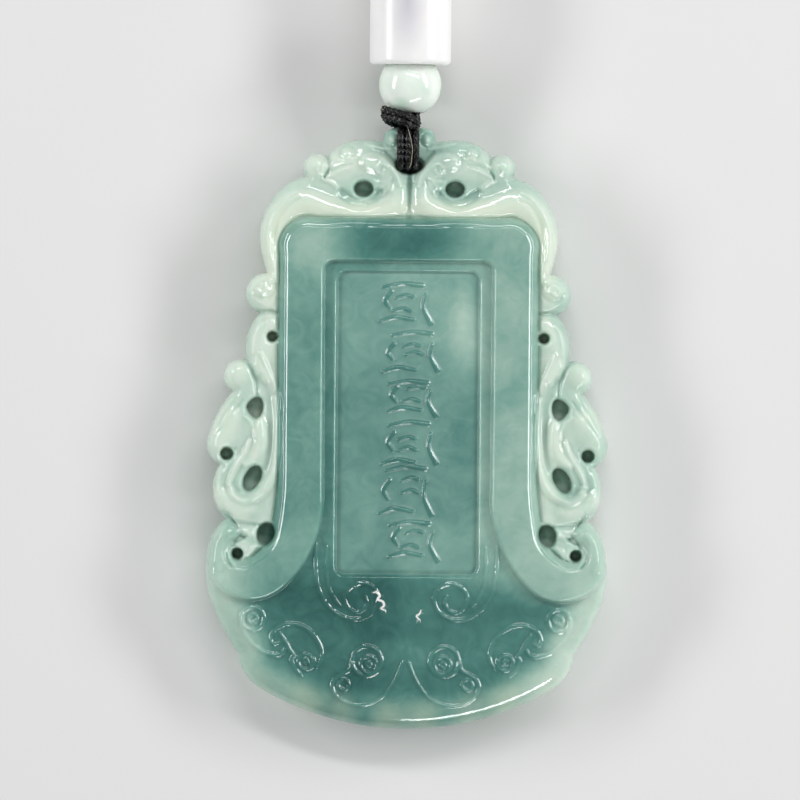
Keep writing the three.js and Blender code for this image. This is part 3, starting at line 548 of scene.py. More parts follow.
def bowed(points, step=4.0):
    """A line of arcs through drawn points."""
    line = []
    for (ax, ay, bow), (bx, by, _) in zip(points, points[1:]):
        chord = math.hypot(bx - ax, by - ay)
        ux, uy = (bx - ax) / chord, (by - ay) / chord
        half = 2 * math.atan(2 * bow / chord)
        radius = chord / (2 * math.sin(half)) if half else 0
        count = max(1, round((2 * radius * half if half else chord) / step))
        for k in range(count):
            turn = (2 * k / count - 1) * half
            forward = chord / 2 + radius * math.sin(turn) if half else chord * k / count
            sideways = radius * (math.cos(turn) - math.cos(half)) if half else 0
            line.append((ax + forward * ux - sideways * uy, ay + forward * uy + sideways * ux))
    return np.array(line + [points[-1][:2]])


def mirrored_ring(points, step=4.0):
    side = bowed(points, step)
    return np.concatenate([side, (side[::-1] * (-1, 1))[1:-1]])


def opening_ring(opening, side, step):
    x, y, across, along, lean, point = opening
    count = max(16, round(math.pi * (across + along) / step))
    angle = np.linspace(0, 2 * math.pi, count, endpoint=False)
    turn = math.radians(lean)
    out = across * np.cos(angle) * (1 - point * np.sin(angle))
    up = along * np.sin(angle)
    return np.stack([side * (x + out * math.cos(turn) - up * math.sin(turn)),
                     y + out * math.sin(turn) + up * math.cos(turn)], 1)


outline_ring = mirrored_ring(OUTLINE, EDGE_STEP)
opening_rings = [opening_ring(CORD_HOLE, 1, EDGE_STEP)] + [
    opening_ring(opening, side, EDGE_STEP) for opening in OPENINGS for side in (1, -1)]
print("edge points", len(outline_ring) + sum(map(len, opening_rings)))

# %% [markdown]
# A wheel leaves a stroke that is widest in its middle and runs out at its ends, so a stroke is a
# smooth line whose points each carry half of the width there. A positive rise is stone left
# standing and a negative one is stone taken away. Sculpting with a brush would do as well, but a
# list of strokes can be read, moved and mirrored. Wide strokes swell the bodies, and narrow ones
# draw the horns, the ribbons and the clouds.

# %% Strokes that swell the bodies
RING_POINTS = 10


def ring_of(x, y, radius, half, turns=1.0, start=0.0, end_radius=None):
    """Points of a circle or spiral stroke."""
    count = max(4, round(abs(turns) * RING_POINTS))
    end_radius = radius if end_radius is None else end_radius
    out = []
    for k in range(count + 1):
        angle = math.radians(start) + 2 * math.pi * turns * k / count
        reach = radius + (end_radius - radius) * k / count
        out.append((x + reach * math.cos(angle), y + reach * math.sin(angle), half))
    return out


BODY_STROKES = [
    (0.55, [(42, 266, 11), (24, 259, 14), (13, 245, 15), (14, 230, 15), (26, 219, 15), (50, 214.5, 15),
            (80, 220, 16), (108, 227, 18), (128, 214, 19), (138, 196, 17), (140, 174, 14), (138, 152, 10)]),
    (0.35, [(86, 263, 20), (66, 263, 24), (46, 263, 20)]),
    (-0.50, [(31, 237, 7), (38, 229, 9), (51, 226.5, 10), (62, 231, 9), (69, 238, 5)]),
    (0.45, [(93.5, 264, 14), (94, 265, 14)]),
    (-0.30, [(0, 258, 4), (0, 240, 5), (0, 226, 6), (0, 211, 8)]),
    (0.50, [(146, 139, 19), (147, 140, 19)]),
    (0.35, [(137, 106, 8), (144, 92, 12), (148, 78, 13), (147, 62, 11), (142, 50, 8)]),
    (0.45, [(171, 56, 17), (172, 55, 17)]),
    (-0.30, [(148, 50, 6), (142, 36, 8), (138.5, 18, 8), (137, 0, 8), (137, -18, 8), (140, -34, 8),
             (146, -50, 6)]),
    (0.35, [(148, 10, 4), (147, -3, 8), (149, -18, 9), (155, -30, 8), (162, -36, 5)]),
    (0.35, [(176, 10, 15), (183, -4, 18), (186, -18, 14)]),
    (0.30, [(156, -82, 10), (172, -80, 14), (186, -68, 12)]),
    (0.30, [(167, -124, 20), (170, -126, 20)]),
    (0.08, [(188, -148, 4), (183, -154, 7), (172, -161, 7), (158, -166, 5)]),
]
print("strokes on the bodies", len(BODY_STROKES))

# %% [markdown]
# The second set draws what a thin wheel draws: jaws, horns, eyes, the ribbons of the tails, the
# limbs, the volutes and the spirals on the ledge. Each rise is the smallest that still catches a
# lamp, because a polished edge shows far more than its height.

# %% Strokes that draw the lines
LINE_STROKES = [
    # The head: jaw, notch, brow, lips, eye, horn, ear, lobe, nose, crest and whisker.
    (0.20, [(86, 249, 2.5), (77, 245.5, 4), (70, 239.5, 4.4), (64.5, 232, 4.4), (56, 227, 3.6),
            (44, 224.5, 2)]),
    (-0.30, [(82.5, 274, 4.5), (80.5, 266, 4.5), (83, 257, 4), (85, 250, 2)]),
    (0.18, [(53, 271, 2), (63, 269.3, 3.6), (73, 267, 4), (81, 262.5, 3)]),
    (-0.12, [(58, 264.5, 2), (69, 262.5, 3), (82, 256, 3)]),
    (0.12, [(61, 260.5, 2), (70, 257.5, 2.6), (82, 251.5, 2)]),
    (-0.12, ring_of(62.5, 275.5, 7.2, 2.4)),
    (0.20, [(62.3, 275.5, 4.2), (62.7, 275.5, 4.2)]),
    (0.34, [(45, 270.5, 4), (35, 271.5, 7), (26, 269, 7), (18, 262.5, 6.4), (12, 253, 5.4), (9, 243, 3)]),
    (-0.14, [(24, 277.5, 2), (15, 268, 2.8), (7.5, 257, 2.8), (4.5, 246, 2)]),
    (0.14, ring_of(28.5, 259, 6.5, 2.4, turns=-0.95, start=160, end_radius=3)),
    (-0.12, [(17, 248, 2), (18.5, 240, 2.8), (23.5, 233.5, 3), (28, 230.5, 2.6), (31, 236, 2)]),
    (0.14, [(24, 246, 2.4), (29, 241, 3.6), (32, 236, 2.4)]),
    (0.12, [(19, 250, 2), (27, 247, 2.6), (36, 247.5, 2)]),
    (-0.12, [(90, 272, 2), (88.5, 265, 2.8), (90, 258, 2)]),
    (0.35, [(17.3, 289, 5), (17.7, 289, 5)]),
    (-0.14, ring_of(17.5, 289, 6.8, 2.0)),
    (0.14, [(19, 280.2, 2), (31, 282.3, 2.8), (44, 285, 2)]),
    (0.12, [(27, 286, 1.8), (36, 287, 2.4), (45, 286, 1.8)]),
    # The tail's ribbon and its curl.
    (0.20, [(112, 237, 2), (124, 230, 3.6), (133, 218.5, 4), (138.8, 205, 4), (141, 188, 3.4),
            (139.5, 170, 2.4)]),
    (-0.16, [(110, 230, 2), (120, 224, 3.4), (128, 213, 3.8), (133, 199, 3.6), (135, 184, 2.6),
             (134.5, 168, 2)]),
    (-0.16, [(138, 153.5, 2), (133.8, 144, 3.2), (135.5, 134.5, 3.6), (142, 128.5, 3.8),
             (150.5, 129.8, 3.6), (155, 136.5, 3.2)]),
    (0.14, [(143, 144, 2), (142.8, 138, 3), (147.5, 135, 3), (151.5, 138.5, 2.4)]),
    (-0.40, [(131, 116, 3), (140, 116.5, 4.4), (150, 115, 4.4)]),
    # The lower body: rims, creases, ribbon, limbs.
    (0.18, [(147, 104, 2.4), (152.5, 97, 3.4), (155, 87, 3.6), (155.5, 74, 2.4)]),
    (0.20, [(148, 76, 2), (144, 67, 3.2), (138.3, 55, 3.8), (132.5, 42, 3.8), (128.5, 30, 3.4),
            (126.8, 18, 2.4)]),
    (-0.30, [(162, 68.5, 3), (155.5, 57, 3.8), (152, 46, 4.2), (150.5, 33, 3)]),
    (0.42, [(131.5, 30, 3), (129.5, 8, 4.4), (129.5, -12, 5), (130.6, -30, 5.4), (134, -46, 6),
            (140.5, -59, 6.4), (150, -68, 6.8), (162, -72.5, 7), (172.5, -68, 6), (177.5, -58, 3.6)]),
    (0.30, [(157.5, -12, 3), (162, -24, 4.4), (169, -35.5, 4.8), (175, -47, 4.4), (178.5, -57, 3)]),
    (0.14, [(164, 12, 2), (157.5, 7, 3), (153.5, -1, 3.2), (152.5, -10, 2)]),
    (0.18, [(186.5, -40, 3), (189, -52, 4), (189.2, -64, 4), (185.5, -76, 2.6)]),
    (0.16, [(176, 28, 2), (184, 18, 3), (190.5, 7, 3.2), (194, -6, 2.4)]),
    (-0.12, [(165, 28, 2), (173.5, 15.5, 2.8), (182, 4.5, 2.8), (190, -6, 2)]),
    (-0.12, [(172, -20, 1.8), (174.5, -28, 2.4), (180, -34, 2)]),
    (-0.30, [(147, -97, 2.6), (160, -96.5, 4.4), (172, -94.5, 4.4), (183, -91, 4.4)]),
    # The volute.
    (0.10, [(160, -104, 3), (172, -103, 5), (182, -106, 6.4), (189, -116, 7.4), (190.5, -129, 6.8),
            (187, -142, 4)]),
    (-0.35, [(160, -109, 3), (172, -112, 4.4), (179, -119, 5), (180, -130, 4.6), (175, -138, 3)]),
    (0.18, [(148, -108, 3), (154, -106, 4.4), (160, -109, 3.2)]),
    (0.14, [(136, -119, 2), (143, -127, 3.2), (152, -133.5, 2.4)]),
    (0.18, [(150, -118, 3), (155, -122, 4.2), (158, -129, 3)]),
    # The ledge's spirals.
    (0.17, [(90.5, -116, 2), (90.5, -138, 3), (88, -158, 3.2), (81, -173.5, 3.2), (70, -184.5, 3.2),
            (56, -190.5, 3.2), (42.5, -189.5, 3.2), (32, -181.5, 3.2), (28, -171, 3), (30.5, -161, 3),
            (38.5, -155.5, 3), (48, -155, 3), (57, -160, 3.2), (61.5, -168.5, 3.2), (58.5, -178, 3),
            (50.5, -183.5, 3), (42.5, -181, 3), (39, -174, 2.6), (41, -167, 2)]),
    (0.15, [(79.5, -118, 2), (79.5, -142, 3), (77.5, -158, 3), (71, -171, 3), (66, -177, 2)]),
]
print("strokes of the lines", len(LINE_STROKES))

# %% [markdown]
# The base carries two groups of clouds, mirrored. Each is a set of rings and long curls with one and
# the same rise, because the carver went over them with one wheel.

# %% The base's clouds
CLOUD_RISE = 0.18
STROKE_STEP = 2.0
CLOUD_STROKES = [
    ring_of(153, -190.5, 11, 3.0, turns=-1.0, start=-150, end_radius=11.5)
    + [(147.5, -200.5, 2.4)],
    [(163.5, -186, 2.4), (164, -196, 3.2), (160, -207, 3.4), (151.5, -217.5, 3.4), (141.5, -224.3, 3.4),
     (131, -227, 3.4), (124, -225.5, 3.2), (121, -220.5, 2.4)],
    ring_of(152.5, -191, 5.2, 2.4, turns=0.95, start=-60, end_radius=3.5),
    [(128, -215, 2), (132.5, -216, 2.6), (135.3, -211.5, 3), (133.3, -204.5, 3.2), (127, -199, 3.4),
     (118, -196, 3.4), (107, -197, 3.4), (97, -202, 3.4), (89.3, -210.5, 3.4), (84.8, -220, 3.4),
     (84, -230, 3.2), (89, -238.5, 2.4)],
    [(125.5, -205.5, 2.4), (120, -214, 3.2), (116.3, -221, 3.2), (112, -226.5, 2.4)],
    ring_of(100, -233, 9, 2.8, turns=1.15, start=165, end_radius=6) + [(99, -228.5, 2)],
    ring_of(100.5, -232.5, 2.6, 2.2, turns=0.7, start=40),
    [(110, -228, 2), (114.2, -230, 3.4), (111.5, -239, 4), (104, -247.5, 2)],
    ring_of(38.8, -232.5, 14.8, 3.0),
    ring_of(37, -236, 8.3, 2.6),
    ring_of(37.3, -236, 2.4, 2.2),
    [(54.5, -234, 2), (56.5, -241.5, 2.8), (64.5, -246, 3.2), (71.5, -251, 3.2), (73.5, -258.5, 3.2),
     (69, -267.5, 3), (60, -273.5, 2.6), (48, -276.5, 2.4), (35, -274.5, 2.2), (22, -267, 2.2),
     (11, -252, 2.2), (3, -233, 2)],
    ring_of(62.5, -256, 6.5, 2.4, turns=0.95, start=70, end_radius=4.5),
]
cloud_strokes = [(CLOUD_RISE, points) for points in CLOUD_STROKES]
# Each stroke becomes a fine line of x, y and half width.
carved_lines = [(rise, smooth_path(points, STROKE_STEP)[0])
                for rise, points in BODY_STROKES + LINE_STROKES + cloud_strokes]
print("carved strokes", len(carved_lines))

# %% [markdown]
# The inscription's place holds six rows of shallow raised strokes. Text in a font would be flat on
# top with sharp edges, and a brush's weight would be lost. So the rows are the same kind of strokes
# as the carving. They keep the size and the weight of brush strokes, and they are no letters.

# %% The inscription's strokes
GLYPH_RISE = 0.24
GLYPH_ROWS = [(148, 45, -6), (98, 41, 2), (52, 38, 3), (8, 46, -1), (-34, 52, -1), (-89, 44, 4)]
GLYPH_WIDTH = 54
GLYPH_SHIFT = 0.05
GLYPH_ROW_WAVE, GLYPH_STROKE_WAVE = 2.4, 1.7
# A stroke's points are shares of a row's box, from its left and its foot, with half the width.
GLYPH_STROKES = [
    [(0.14, 0.86, 2.6), (0.50, 0.94, 3.6), (0.86, 0.90, 4.0)],
    [(0.24, 0.72, 3.4), (0.13, 0.52, 3.6), (0.22, 0.34, 2.4)],
    [(0.40, 0.64, 2.6), (0.58, 0.70, 3.4), (0.72, 0.66, 2.6)],
    [(0.38, 0.38, 2.6), (0.56, 0.44, 3.4), (0.70, 0.38, 2.6)],
    [(0.90, 0.68, 2.6), (0.86, 0.40, 3.4), (1.00, 0.04, 4.6)],
    [(0.05, 0.06, 2.6), (0.32, 0.16, 3.8), (0.66, 0.10, 3.0)],
]
glyph_lines = []
for row, (top, height, middle) in enumerate(GLYPH_ROWS):
    for index, points in enumerate(GLYPH_STROKES):
        shift = GLYPH_SHIFT * math.sin(GLYPH_ROW_WAVE * row + GLYPH_STROKE_WAVE * index)
        placed = [(middle + GLYPH_WIDTH * (across + shift - 0.5), top - height * (1 - up - shift), half)
                  for across, up, half in points]
        glyph_lines.append(smooth_path(placed, STROKE_STEP)[0])
print("inscription strokes", len(glyph_lines))

# %% [markdown]
# Everything on the face is worked out from distances: how far a point is inside the frame, inside
# its window, inside the panel, or from a stroke's line. They are measured on whole arrays at once,
# which keeps tens of thousands of points quick.

# %% Distances on the face
frame_outside = mirrored_ring(FRAME_OUTSIDE)
frame_inside = mirrored_ring(FRAME_INSIDE)
panel_ring = mirrored_ring(PANEL, 3.0)
outline_coarse = mirrored_ring(OUTLINE, 3.0)
OPENING_REACH = 40.0                 # farther away than this, an opening doesn't matter


def smooth(value, low, high):
    share = np.clip((value - low) / (high - low), 0, 1)
    return share * share * (3 - 2 * share)


def mix(a, b, share):
    return a + (b - a) * share


def ring_distance(x, y, ring):
    """How far points are inside a ring; outside it is negative."""
    best = np.full(x.shape, np.inf)
    inside = np.zeros(x.shape, bool)
    for (ax, ay), (bx, by) in zip(ring, np.roll(ring, -1, axis=0)):
        dx, dy = bx - ax, by - ay
        share = np.clip(((x - ax) * dx + (y - ay) * dy) / (dx * dx + dy * dy + 1e-12), 0, 1)
        best = np.minimum(best, (x - ax - share * dx) ** 2 + (y - ay - share * dy) ** 2)
        if ay != by:
            inside ^= ((ay > y) != (by > y)) & (x < ax + (y - ay) * dx / dy)
    return np.where(inside, 1, -1) * np.sqrt(best)


def stroke_rise(x, y, line):
    """The share of a stroke's rise: one on its line, none at its half width."""
    out = np.zeros(x.shape)
    widest = line[:, 2].max()
    low, high = line[:, :2].min(0) - widest, line[:, :2].max(0) + widest
    near = (x > low[0]) & (x < high[0]) & (y > low[1]) & (y < high[1])
    if not near.any():
        return out
    px, py = x[near], y[near]
    best = np.ones(px.shape)
    for (ax, ay, ah), (bx, by, bh) in zip(line, line[1:]):
        dx, dy = bx - ax, by - ay
        share = np.clip(((px - ax) * dx + (py - ay) * dy) / (dx * dx + dy * dy + 1e-12), 0, 1)
        half = ah + share * (bh - ah)
        best = np.minimum(best, np.hypot(px - ax - share * dx, py - ay - share * dy) / half)
    out[near] = (1 - best ** 2) ** 2
    return out


def opening_distance(x, y):
    """How far points are from the nearest opening's edge; inside an opening is negative."""
    best = np.full(x.shape, OPENING_REACH)
    for ring in opening_rings[:1] + opening_rings[1::2]:
        low, high = ring.min(0) - OPENING_REACH, ring.max(0) + OPENING_REACH
        near = (x > low[0]) & (x < high[0]) & (y > low[1]) & (y < high[1])
        if near.any():
            best[near] = np.minimum(best[near], -ring_distance(x[near], y[near], ring))
    return best


print("ring points", len(frame_outside), len(frame_inside), len(panel_ring), len(outline_coarse))

# %% [markdown]
# Each field has its level below the highest face: creatures, frame, ledge, sunk panel and base. At
# the outline and in the openings the face falls in a quarter round to a plain wall, as a polisher
# leaves it. Two small white glints on the base are painted highlights, put into the stone's colour
# as well.

# %% Fields, rounding and painted glints
LEVELS = {"frame": 0.1, "creature": 0.86, "crest": 1.3, "ledge": 0.8, "panel": 1.25, "base": 1.05}
CREASE_DEPTH = 0.3
WALL = 0.55
OUTLINE_ROUND, OPENING_ROUND, BASE_ROUND = 10.5, 4, 26
BACK_SET_IN = 0.5
BACK_CREST_SET_IN = 1.352
BACK_GROOVE_DEPTH = 0.4
CREST_Y, CREST_SQUASH, CREST_FIELD = 283, 0.8, (28, 52)
BASE_START = (145, 185)


def rounded(height, edge, radius):
    share = np.clip(edge / radius, 0, 1)
    return WALL + (height - WALL) * np.sqrt(1 - (1 - share) ** 2)


def fields(x, y):
    side = np.abs(x)
    return {
        "outline": ring_distance(side, y, outline_coarse),
        "opening": opening_distance(side, y),
        "frame": ring_distance(side, y, frame_outside),
        "window": ring_distance(side, y, frame_inside),
        "panel": ring_distance(x, y, panel_ring),
        "crest": 1 - smooth(np.hypot(x, CREST_SQUASH * (y - CREST_Y)), *CREST_FIELD),
        "base": smooth(-y, *BASE_START),
    }


def round_over(height, f, base_round):
    height = rounded(height, f["outline"], mix(OUTLINE_ROUND, base_round, f["base"]))
    return rounded(height, f["opening"], OPENING_ROUND)


def glyph_share(x, y):
    out = np.zeros(x.shape)
    for line in glyph_lines:
        out = np.maximum(out, stroke_rise(x, y, line))
    return out


# The painted glints are lines of x, y and half width. They colour the stone and don't rise from it.
WHITE_GLINTS = [
    [(-33.5, -164, 0.8), (-29.8, -163.4, 1.6), (-26.3, -166.7, 1.8), (-28.4, -170.4, 1.6),
     (-23.3, -172.7, 1.7), (-22, -176.8, 1.7), (-25, -179.6, 1.2), (-20.1, -182, 0.8)],
    [(15, -181, 0.9), (13.6, -184.6, 1.4), (10.5, -187.2, 1.3), (14.1, -190.8, 0.9)],
]
glint_lines = [smooth_path(points, 1.0)[0] for points in WHITE_GLINTS]


def glint_share(x, y):
    return np.maximum(*(stroke_rise(x, y, line) for line in glint_lines))


print("painted_glints", len(WHITE_GLINTS))

# %% [markdown]
# The front's height is its level, plus the strokes, plus a narrow facet along the frame's edge, the
# window and the panel. The facet has the slope that shows the lamps, because those edges are drawn
# by bright lines. The back has the frame's flat, a groove round the panel, and nothing else.

# %% The carved front and the plain back
FLASH_SLOPE = 0.6
BEVEL_WIDTH, CREASE_WIDTH = 9, 3
BACK_ROUND, BACK_SLOPE = 16, 4


def chamfer(distance, place, width):
    """A field's edge ground down at the slope that shows the lamps, ending at a distance."""
    return -FLASH_SLOPE / 10 * np.clip(width - np.abs(distance - place), 0, width)


def carved_rise(x, y):
    """Millimetres that the strokes add to the levels."""
    side = np.abs(x)
    return sum(rise * stroke_rise(side, y, line) for rise, line in carved_lines)


def front_height(x, y, f, carved):
    """Millimetres from the middle of the stone to the carved front."""
    level = mix(LEVELS["creature"], LEVELS["crest"], f["crest"])
    bevel = np.clip(1.5 - f["frame"], 0, 2.2)
    level = mix(level, LEVELS["frame"] + FLASH_SLOPE / 10 * bevel, smooth(f["frame"], -BEVEL_WIDTH, -0.7))
    level = level + CREASE_DEPTH * np.maximum(0, 1 - np.abs(f["frame"] + BEVEL_WIDTH) / CREASE_WIDTH) ** 1.3
    level = mix(level, mix(LEVELS["ledge"], LEVELS["base"], f["base"]), smooth(f["window"], -1.2, 1.8))
    level = mix(level, LEVELS["panel"], smooth(f["panel"], -1.2, 1.2))
    height = 1000 * THICKNESS / 2 - level + carved
    height = height + chamfer(f["window"], -0.6, 2.2) + chamfer(f["panel"], -0.6, 2.2)
    glyph = 1 - np.sqrt(1 - np.sqrt(glyph_share(x, y)))
    height = height + GLYPH_RISE * glyph
    return round_over(height, f, BASE_ROUND)


def back_height(x, y, f):
    """Millimetres from the middle of the stone to the plainer back."""
    level = mix(mix(BACK_SET_IN, BACK_CREST_SET_IN, f["crest"]), 0, smooth(f["frame"], 0, BACK_SLOPE))
    level = level + BACK_GROOVE_DEPTH * np.maximum(0, 1 - (f["panel"] / BACK_SLOPE) ** 2) ** 2
    return round_over(1000 * THICKNESS / 2 - level, f, BACK_ROUND)


print("levels below the highest face", LEVELS)

# %% [markdown]
# The faces are nets of points with triangles between them. A plain grid would show stairs along
# every slanting edge, so rings of points follow each edge inwards, and the rounding stays even.
# The front and the back share their edge points, and a plain wall joins them.

# %% Points beside the edges
RING_OFFSETS = (0.4, 1.5, 3.2)


def points_beside(ring, offset, outer):
    ahead, behind = np.roll(ring, -1, axis=0), np.roll(ring, 1, axis=0)
    along = ahead - behind
    along /= np.linalg.norm(along, axis=1)[:, None]
    normal = np.stack([along[:, 1], -along[:, 0]], 1)
    area = np.sum(ring[:, 0] * ahead[:, 1] - ahead[:, 0] * ring[:, 1])
    inwards = -1 if area > 0 else 1
    return ring + normal * offset * inwards * (1 if outer else -1)


def edge_of(x, y):
    side = np.abs(x)
    return np.minimum(ring_distance(side, y, outline_coarse), opening_distance(side, y))


rings = [outline_ring] + opening_rings
ring_points = np.concatenate(rings)
beside = np.concatenate([points_beside(ring, offset, k == 0)
                         for k, ring in enumerate(rings) for offset in RING_OFFSETS])
offsets = np.concatenate([np.full(len(ring), offset) for ring in rings for offset in RING_OFFSETS])
beside = beside[edge_of(beside[:, 0], beside[:, 1]) > 0.8 * offsets]
print("points on the edges", len(ring_points), "and beside them", len(beside))

# %% [markdown]
# The edges of the frame, its window and the panel are the sharpest lines of the face. Each gets rows
# of points of its own that run along it. Where two of them come close, one gives way to the other.

# %% Rows of points along the frame's lines
LINE_BANDS = {"frame": (-12.0, 3.0), "window": (-3.6, 2.4), "panel": (-3.6, 1.8)}
GIVES_WAY_TO = {"frame": (), "window": ("frame", "panel"), "panel": ("frame",)}
ROW_GAP, ROW_STEP = 0.6, 2.4
LEAST_EDGE_DISTANCE = 4.0

drawn_lines = {"frame": FRAME_OUTSIDE, "window": FRAME_INSIDE, "panel": PANEL}
line_rows = []
for field, (low, high) in LINE_BANDS.items():
    drawn = mirrored_ring(drawn_lines[field], ROW_STEP)
    for offset in np.arange(low, high + 0.01, ROW_GAP):
        row = points_beside(drawn, offset, True)
        at = fields(row[:, 0], row[:, 1])
        clear = np.abs(at[field] - offset) < 0.25
        clear &= np.minimum(at["outline"], at["opening"]) > LEAST_EDGE_DISTANCE
        for other in GIVES_WAY_TO[field]:
            clear &= (at[other] < LINE_BANDS[other][0]) | (at[other] > LINE_BANDS[other][1])
        line_rows.append(row[clear])
line_rows = np.concatenate(line_rows)
print("points in rows", len(line_rows))

# %% [markdown]
# The rest of the face is a grid. Where the height bends, all of its points are kept, and on the
# flat only every fourth in each direction. The inscription and the painted glints lie on both sides
# of the middle line and are finer than the grid, so they add small nets of their own.

# %% A grid that is fine where the carving bends
FINE_STEP = 1.25
COARSE = 4
BEND_KEPT = 0.012
BACK_STEP = 4.0

columns = np.arange(0, 205 / FINE_STEP) * FINE_STEP
rows = np.arange(-305 / FINE_STEP, 305 / FINE_STEP) * FINE_STEP
grid_x, grid_y = np.meshgrid(columns, rows)
grid_fields = fields(grid_x, grid_y)
heights = front_height(grid_x, grid_y, grid_fields, carved_rise(grid_x, grid_y))
edges = np.minimum(grid_fields["outline"], grid_fields["opening"])
bend = np.zeros(heights.shape)
bend[1:-1, 1:-1] = (np.abs(heights[2:, 1:-1] + heights[:-2, 1:-1] - 2 * heights[1:-1, 1:-1])
                    + np.abs(heights[1:-1, 2:] + heights[1:-1, :-2] - 2 * heights[1:-1, 1:-1]))
row_number, column_number = np.indices(heights.shape)
coarse = (row_number % COARSE == 0) & (column_number % COARSE == 0)
near_line = np.zeros(heights.shape, bool)
for field, (low, high) in LINE_BANDS.items():
    near_line |= (grid_fields[field] > low - 0.5) & (grid_fields[field] < high + 0.5)
kept = (edges > RING_OFFSETS[-1] + 0.8) & (coarse | (bend > BEND_KEPT)) & ~near_line
kept_x, kept_y = grid_x[kept], grid_y[kept]
mirrored = kept_x > 0.1
front_net = np.concatenate([ring_points, beside, line_rows, np.stack([kept_x, kept_y], 1),
                            np.stack([-kept_x[mirrored], kept_y[mirrored]], 1)])


OFF_GRID = (0.31, 0.27)              # no point of a small net meets one of the grid


def points_near(near, low, high, step):
    """A fine square net, kept where the function says so."""
    x, y = np.meshgrid(*(np.arange(low[k], high[k], step) + OFF_GRID[k] for k in (0, 1)))
    chosen = near(x, y)
    return np.stack([x[chosen], y[chosen]], 1)


front_net = np.concatenate([
    front_net,
    points_near(lambda x, y: (glyph_share(x, y) > 0) & (glyph_share(x, y) < 0.9),
                (-45, -140), (45, 152), 0.95),
    points_near(lambda x, y: glint_share(x, y) > 0, (-40, -195), (20, -158), 0.7),
])

back_x, back_y = np.meshgrid(np.arange(-204, 205, BACK_STEP), np.arange(-304, 305, BACK_STEP))
back_inside = edge_of(back_x, back_y) > RING_OFFSETS[-1] + 2
back_net = np.concatenate([ring_points, beside, np.stack([back_x[back_inside], back_y[back_inside]], 1)])
print("front points", len(front_net), "back points", len(back_net))

# %% [markdown]
# Blender can join loose points into triangles while it keeps given edges. The edges are the rings
# of the outline and the openings, so nothing is filled that should be open.

# %% Triangles and their heights
INSIDE_WITHOUT_HOLES = 2             # the triangles that Blender hands out
SAME_POINT = 1e-4


def triangles_of(points):
    """Triangles between the points, inside the outline and outside the openings."""
    edges, first = [], 0
    for ring in rings:
        count = len(ring)
        edges += [(first + k, first + (k + 1) % count) for k in range(count)]
        first += count
    found = geometry.delaunay_2d_cdt([Vector(p) for p in points.tolist()], edges, [],
                                     INSIDE_WITHOUT_HOLES, SAME_POINT)
    flat = np.array([tuple(v) for v in found[0]])
    faces = np.array([face for face in found[2] if len(face) == 3])
    a, b, c = (flat[faces[:, k]] for k in range(3))
    area = (b[:, 0] - a[:, 0]) * (c[:, 1] - a[:, 1]) - (b[:, 1] - a[:, 1]) * (c[:, 0] - a[:, 0])
    faces[area < 0] = faces[area < 0][:, [0, 2, 1]]
    return flat, faces


front_flat, front_faces = triangles_of(front_net)
back_flat, back_faces = triangles_of(back_net)
front_fields = fields(front_flat[:, 0], front_flat[:, 1])
back_fields = fields(back_flat[:, 0], back_flat[:, 1])
front_carved = carved_rise(front_flat[:, 0], front_flat[:, 1])
front_z = front_height(front_flat[:, 0], front_flat[:, 1], front_fields, front_carved)
back_z = back_height(back_flat[:, 0], back_flat[:, 1], back_fields)
ring_count = len(ring_points)
front_z[:ring_count] = WALL
back_z[:ring_count] = WALL
print("front triangles", len(front_faces), "back triangles", len(back_faces))

# %% [markdown]
# Front and back are now two nets with the same edge points. The front is set above the middle of
# the stone and the back below it, and a wall of plain faces closes each ring.

# %% The plaque's mesh
front_vertices = np.column_stack([front_flat * PART, MIDDLE_Z + front_z / 1000])
back_vertices = np.column_stack([back_flat * PART, MIDDLE_Z - back_z / 1000])
below = len(front_vertices)
wall_faces, first = [], 0
for ring in rings:
    ahead = np.roll(ring, -1, axis=0)
    turns = np.sum(ring[:, 0] * ahead[:, 1] - ahead[:, 0] * ring[:, 1]) > 0
    turns = turns if ring is outline_ring else not turns
    for k in range(len(ring)):
        a, b = first + k, first + (k + 1) % len(ring)
        a, b = (a, b) if turns else (b, a)
        wall_faces.append((a, below + a, below + b, b))
    first += len(ring)
plaque_faces = front_faces.tolist() + (below + back_faces[:, ::-1]).tolist() + wall_faces
plaque_vertices = np.concatenate([front_vertices, back_vertices])
print("plaque vertices", len(plaque_vertices), "faces", len(plaque_faces))

# %% [markdown]
# The creatures and the rim are milky mint, the frame is a middle green, and the sunk panel and the
# base are deep teal. Part of this is painted glow and shade: the stone is painted paler towards its
# outer edges and darker in its middle, as light through the thin edges makes it look, and the
# creatures are painted darker in their grooves and paler on their ridges. The panel is left matt
# from the grinding, and all else is polished. A material for each field would meet the next one in
# a hard line. So the fields are kept in the mesh as masks that run into each other, and one material
# adds clouds and veins to them.

# %% Masks for the stone's colour and finish
def spot(x, y, at_x, at_y, wide, high):
    return np.exp(-((x - at_x) / wide) ** 2 - ((y - at_y) / high) ** 2)


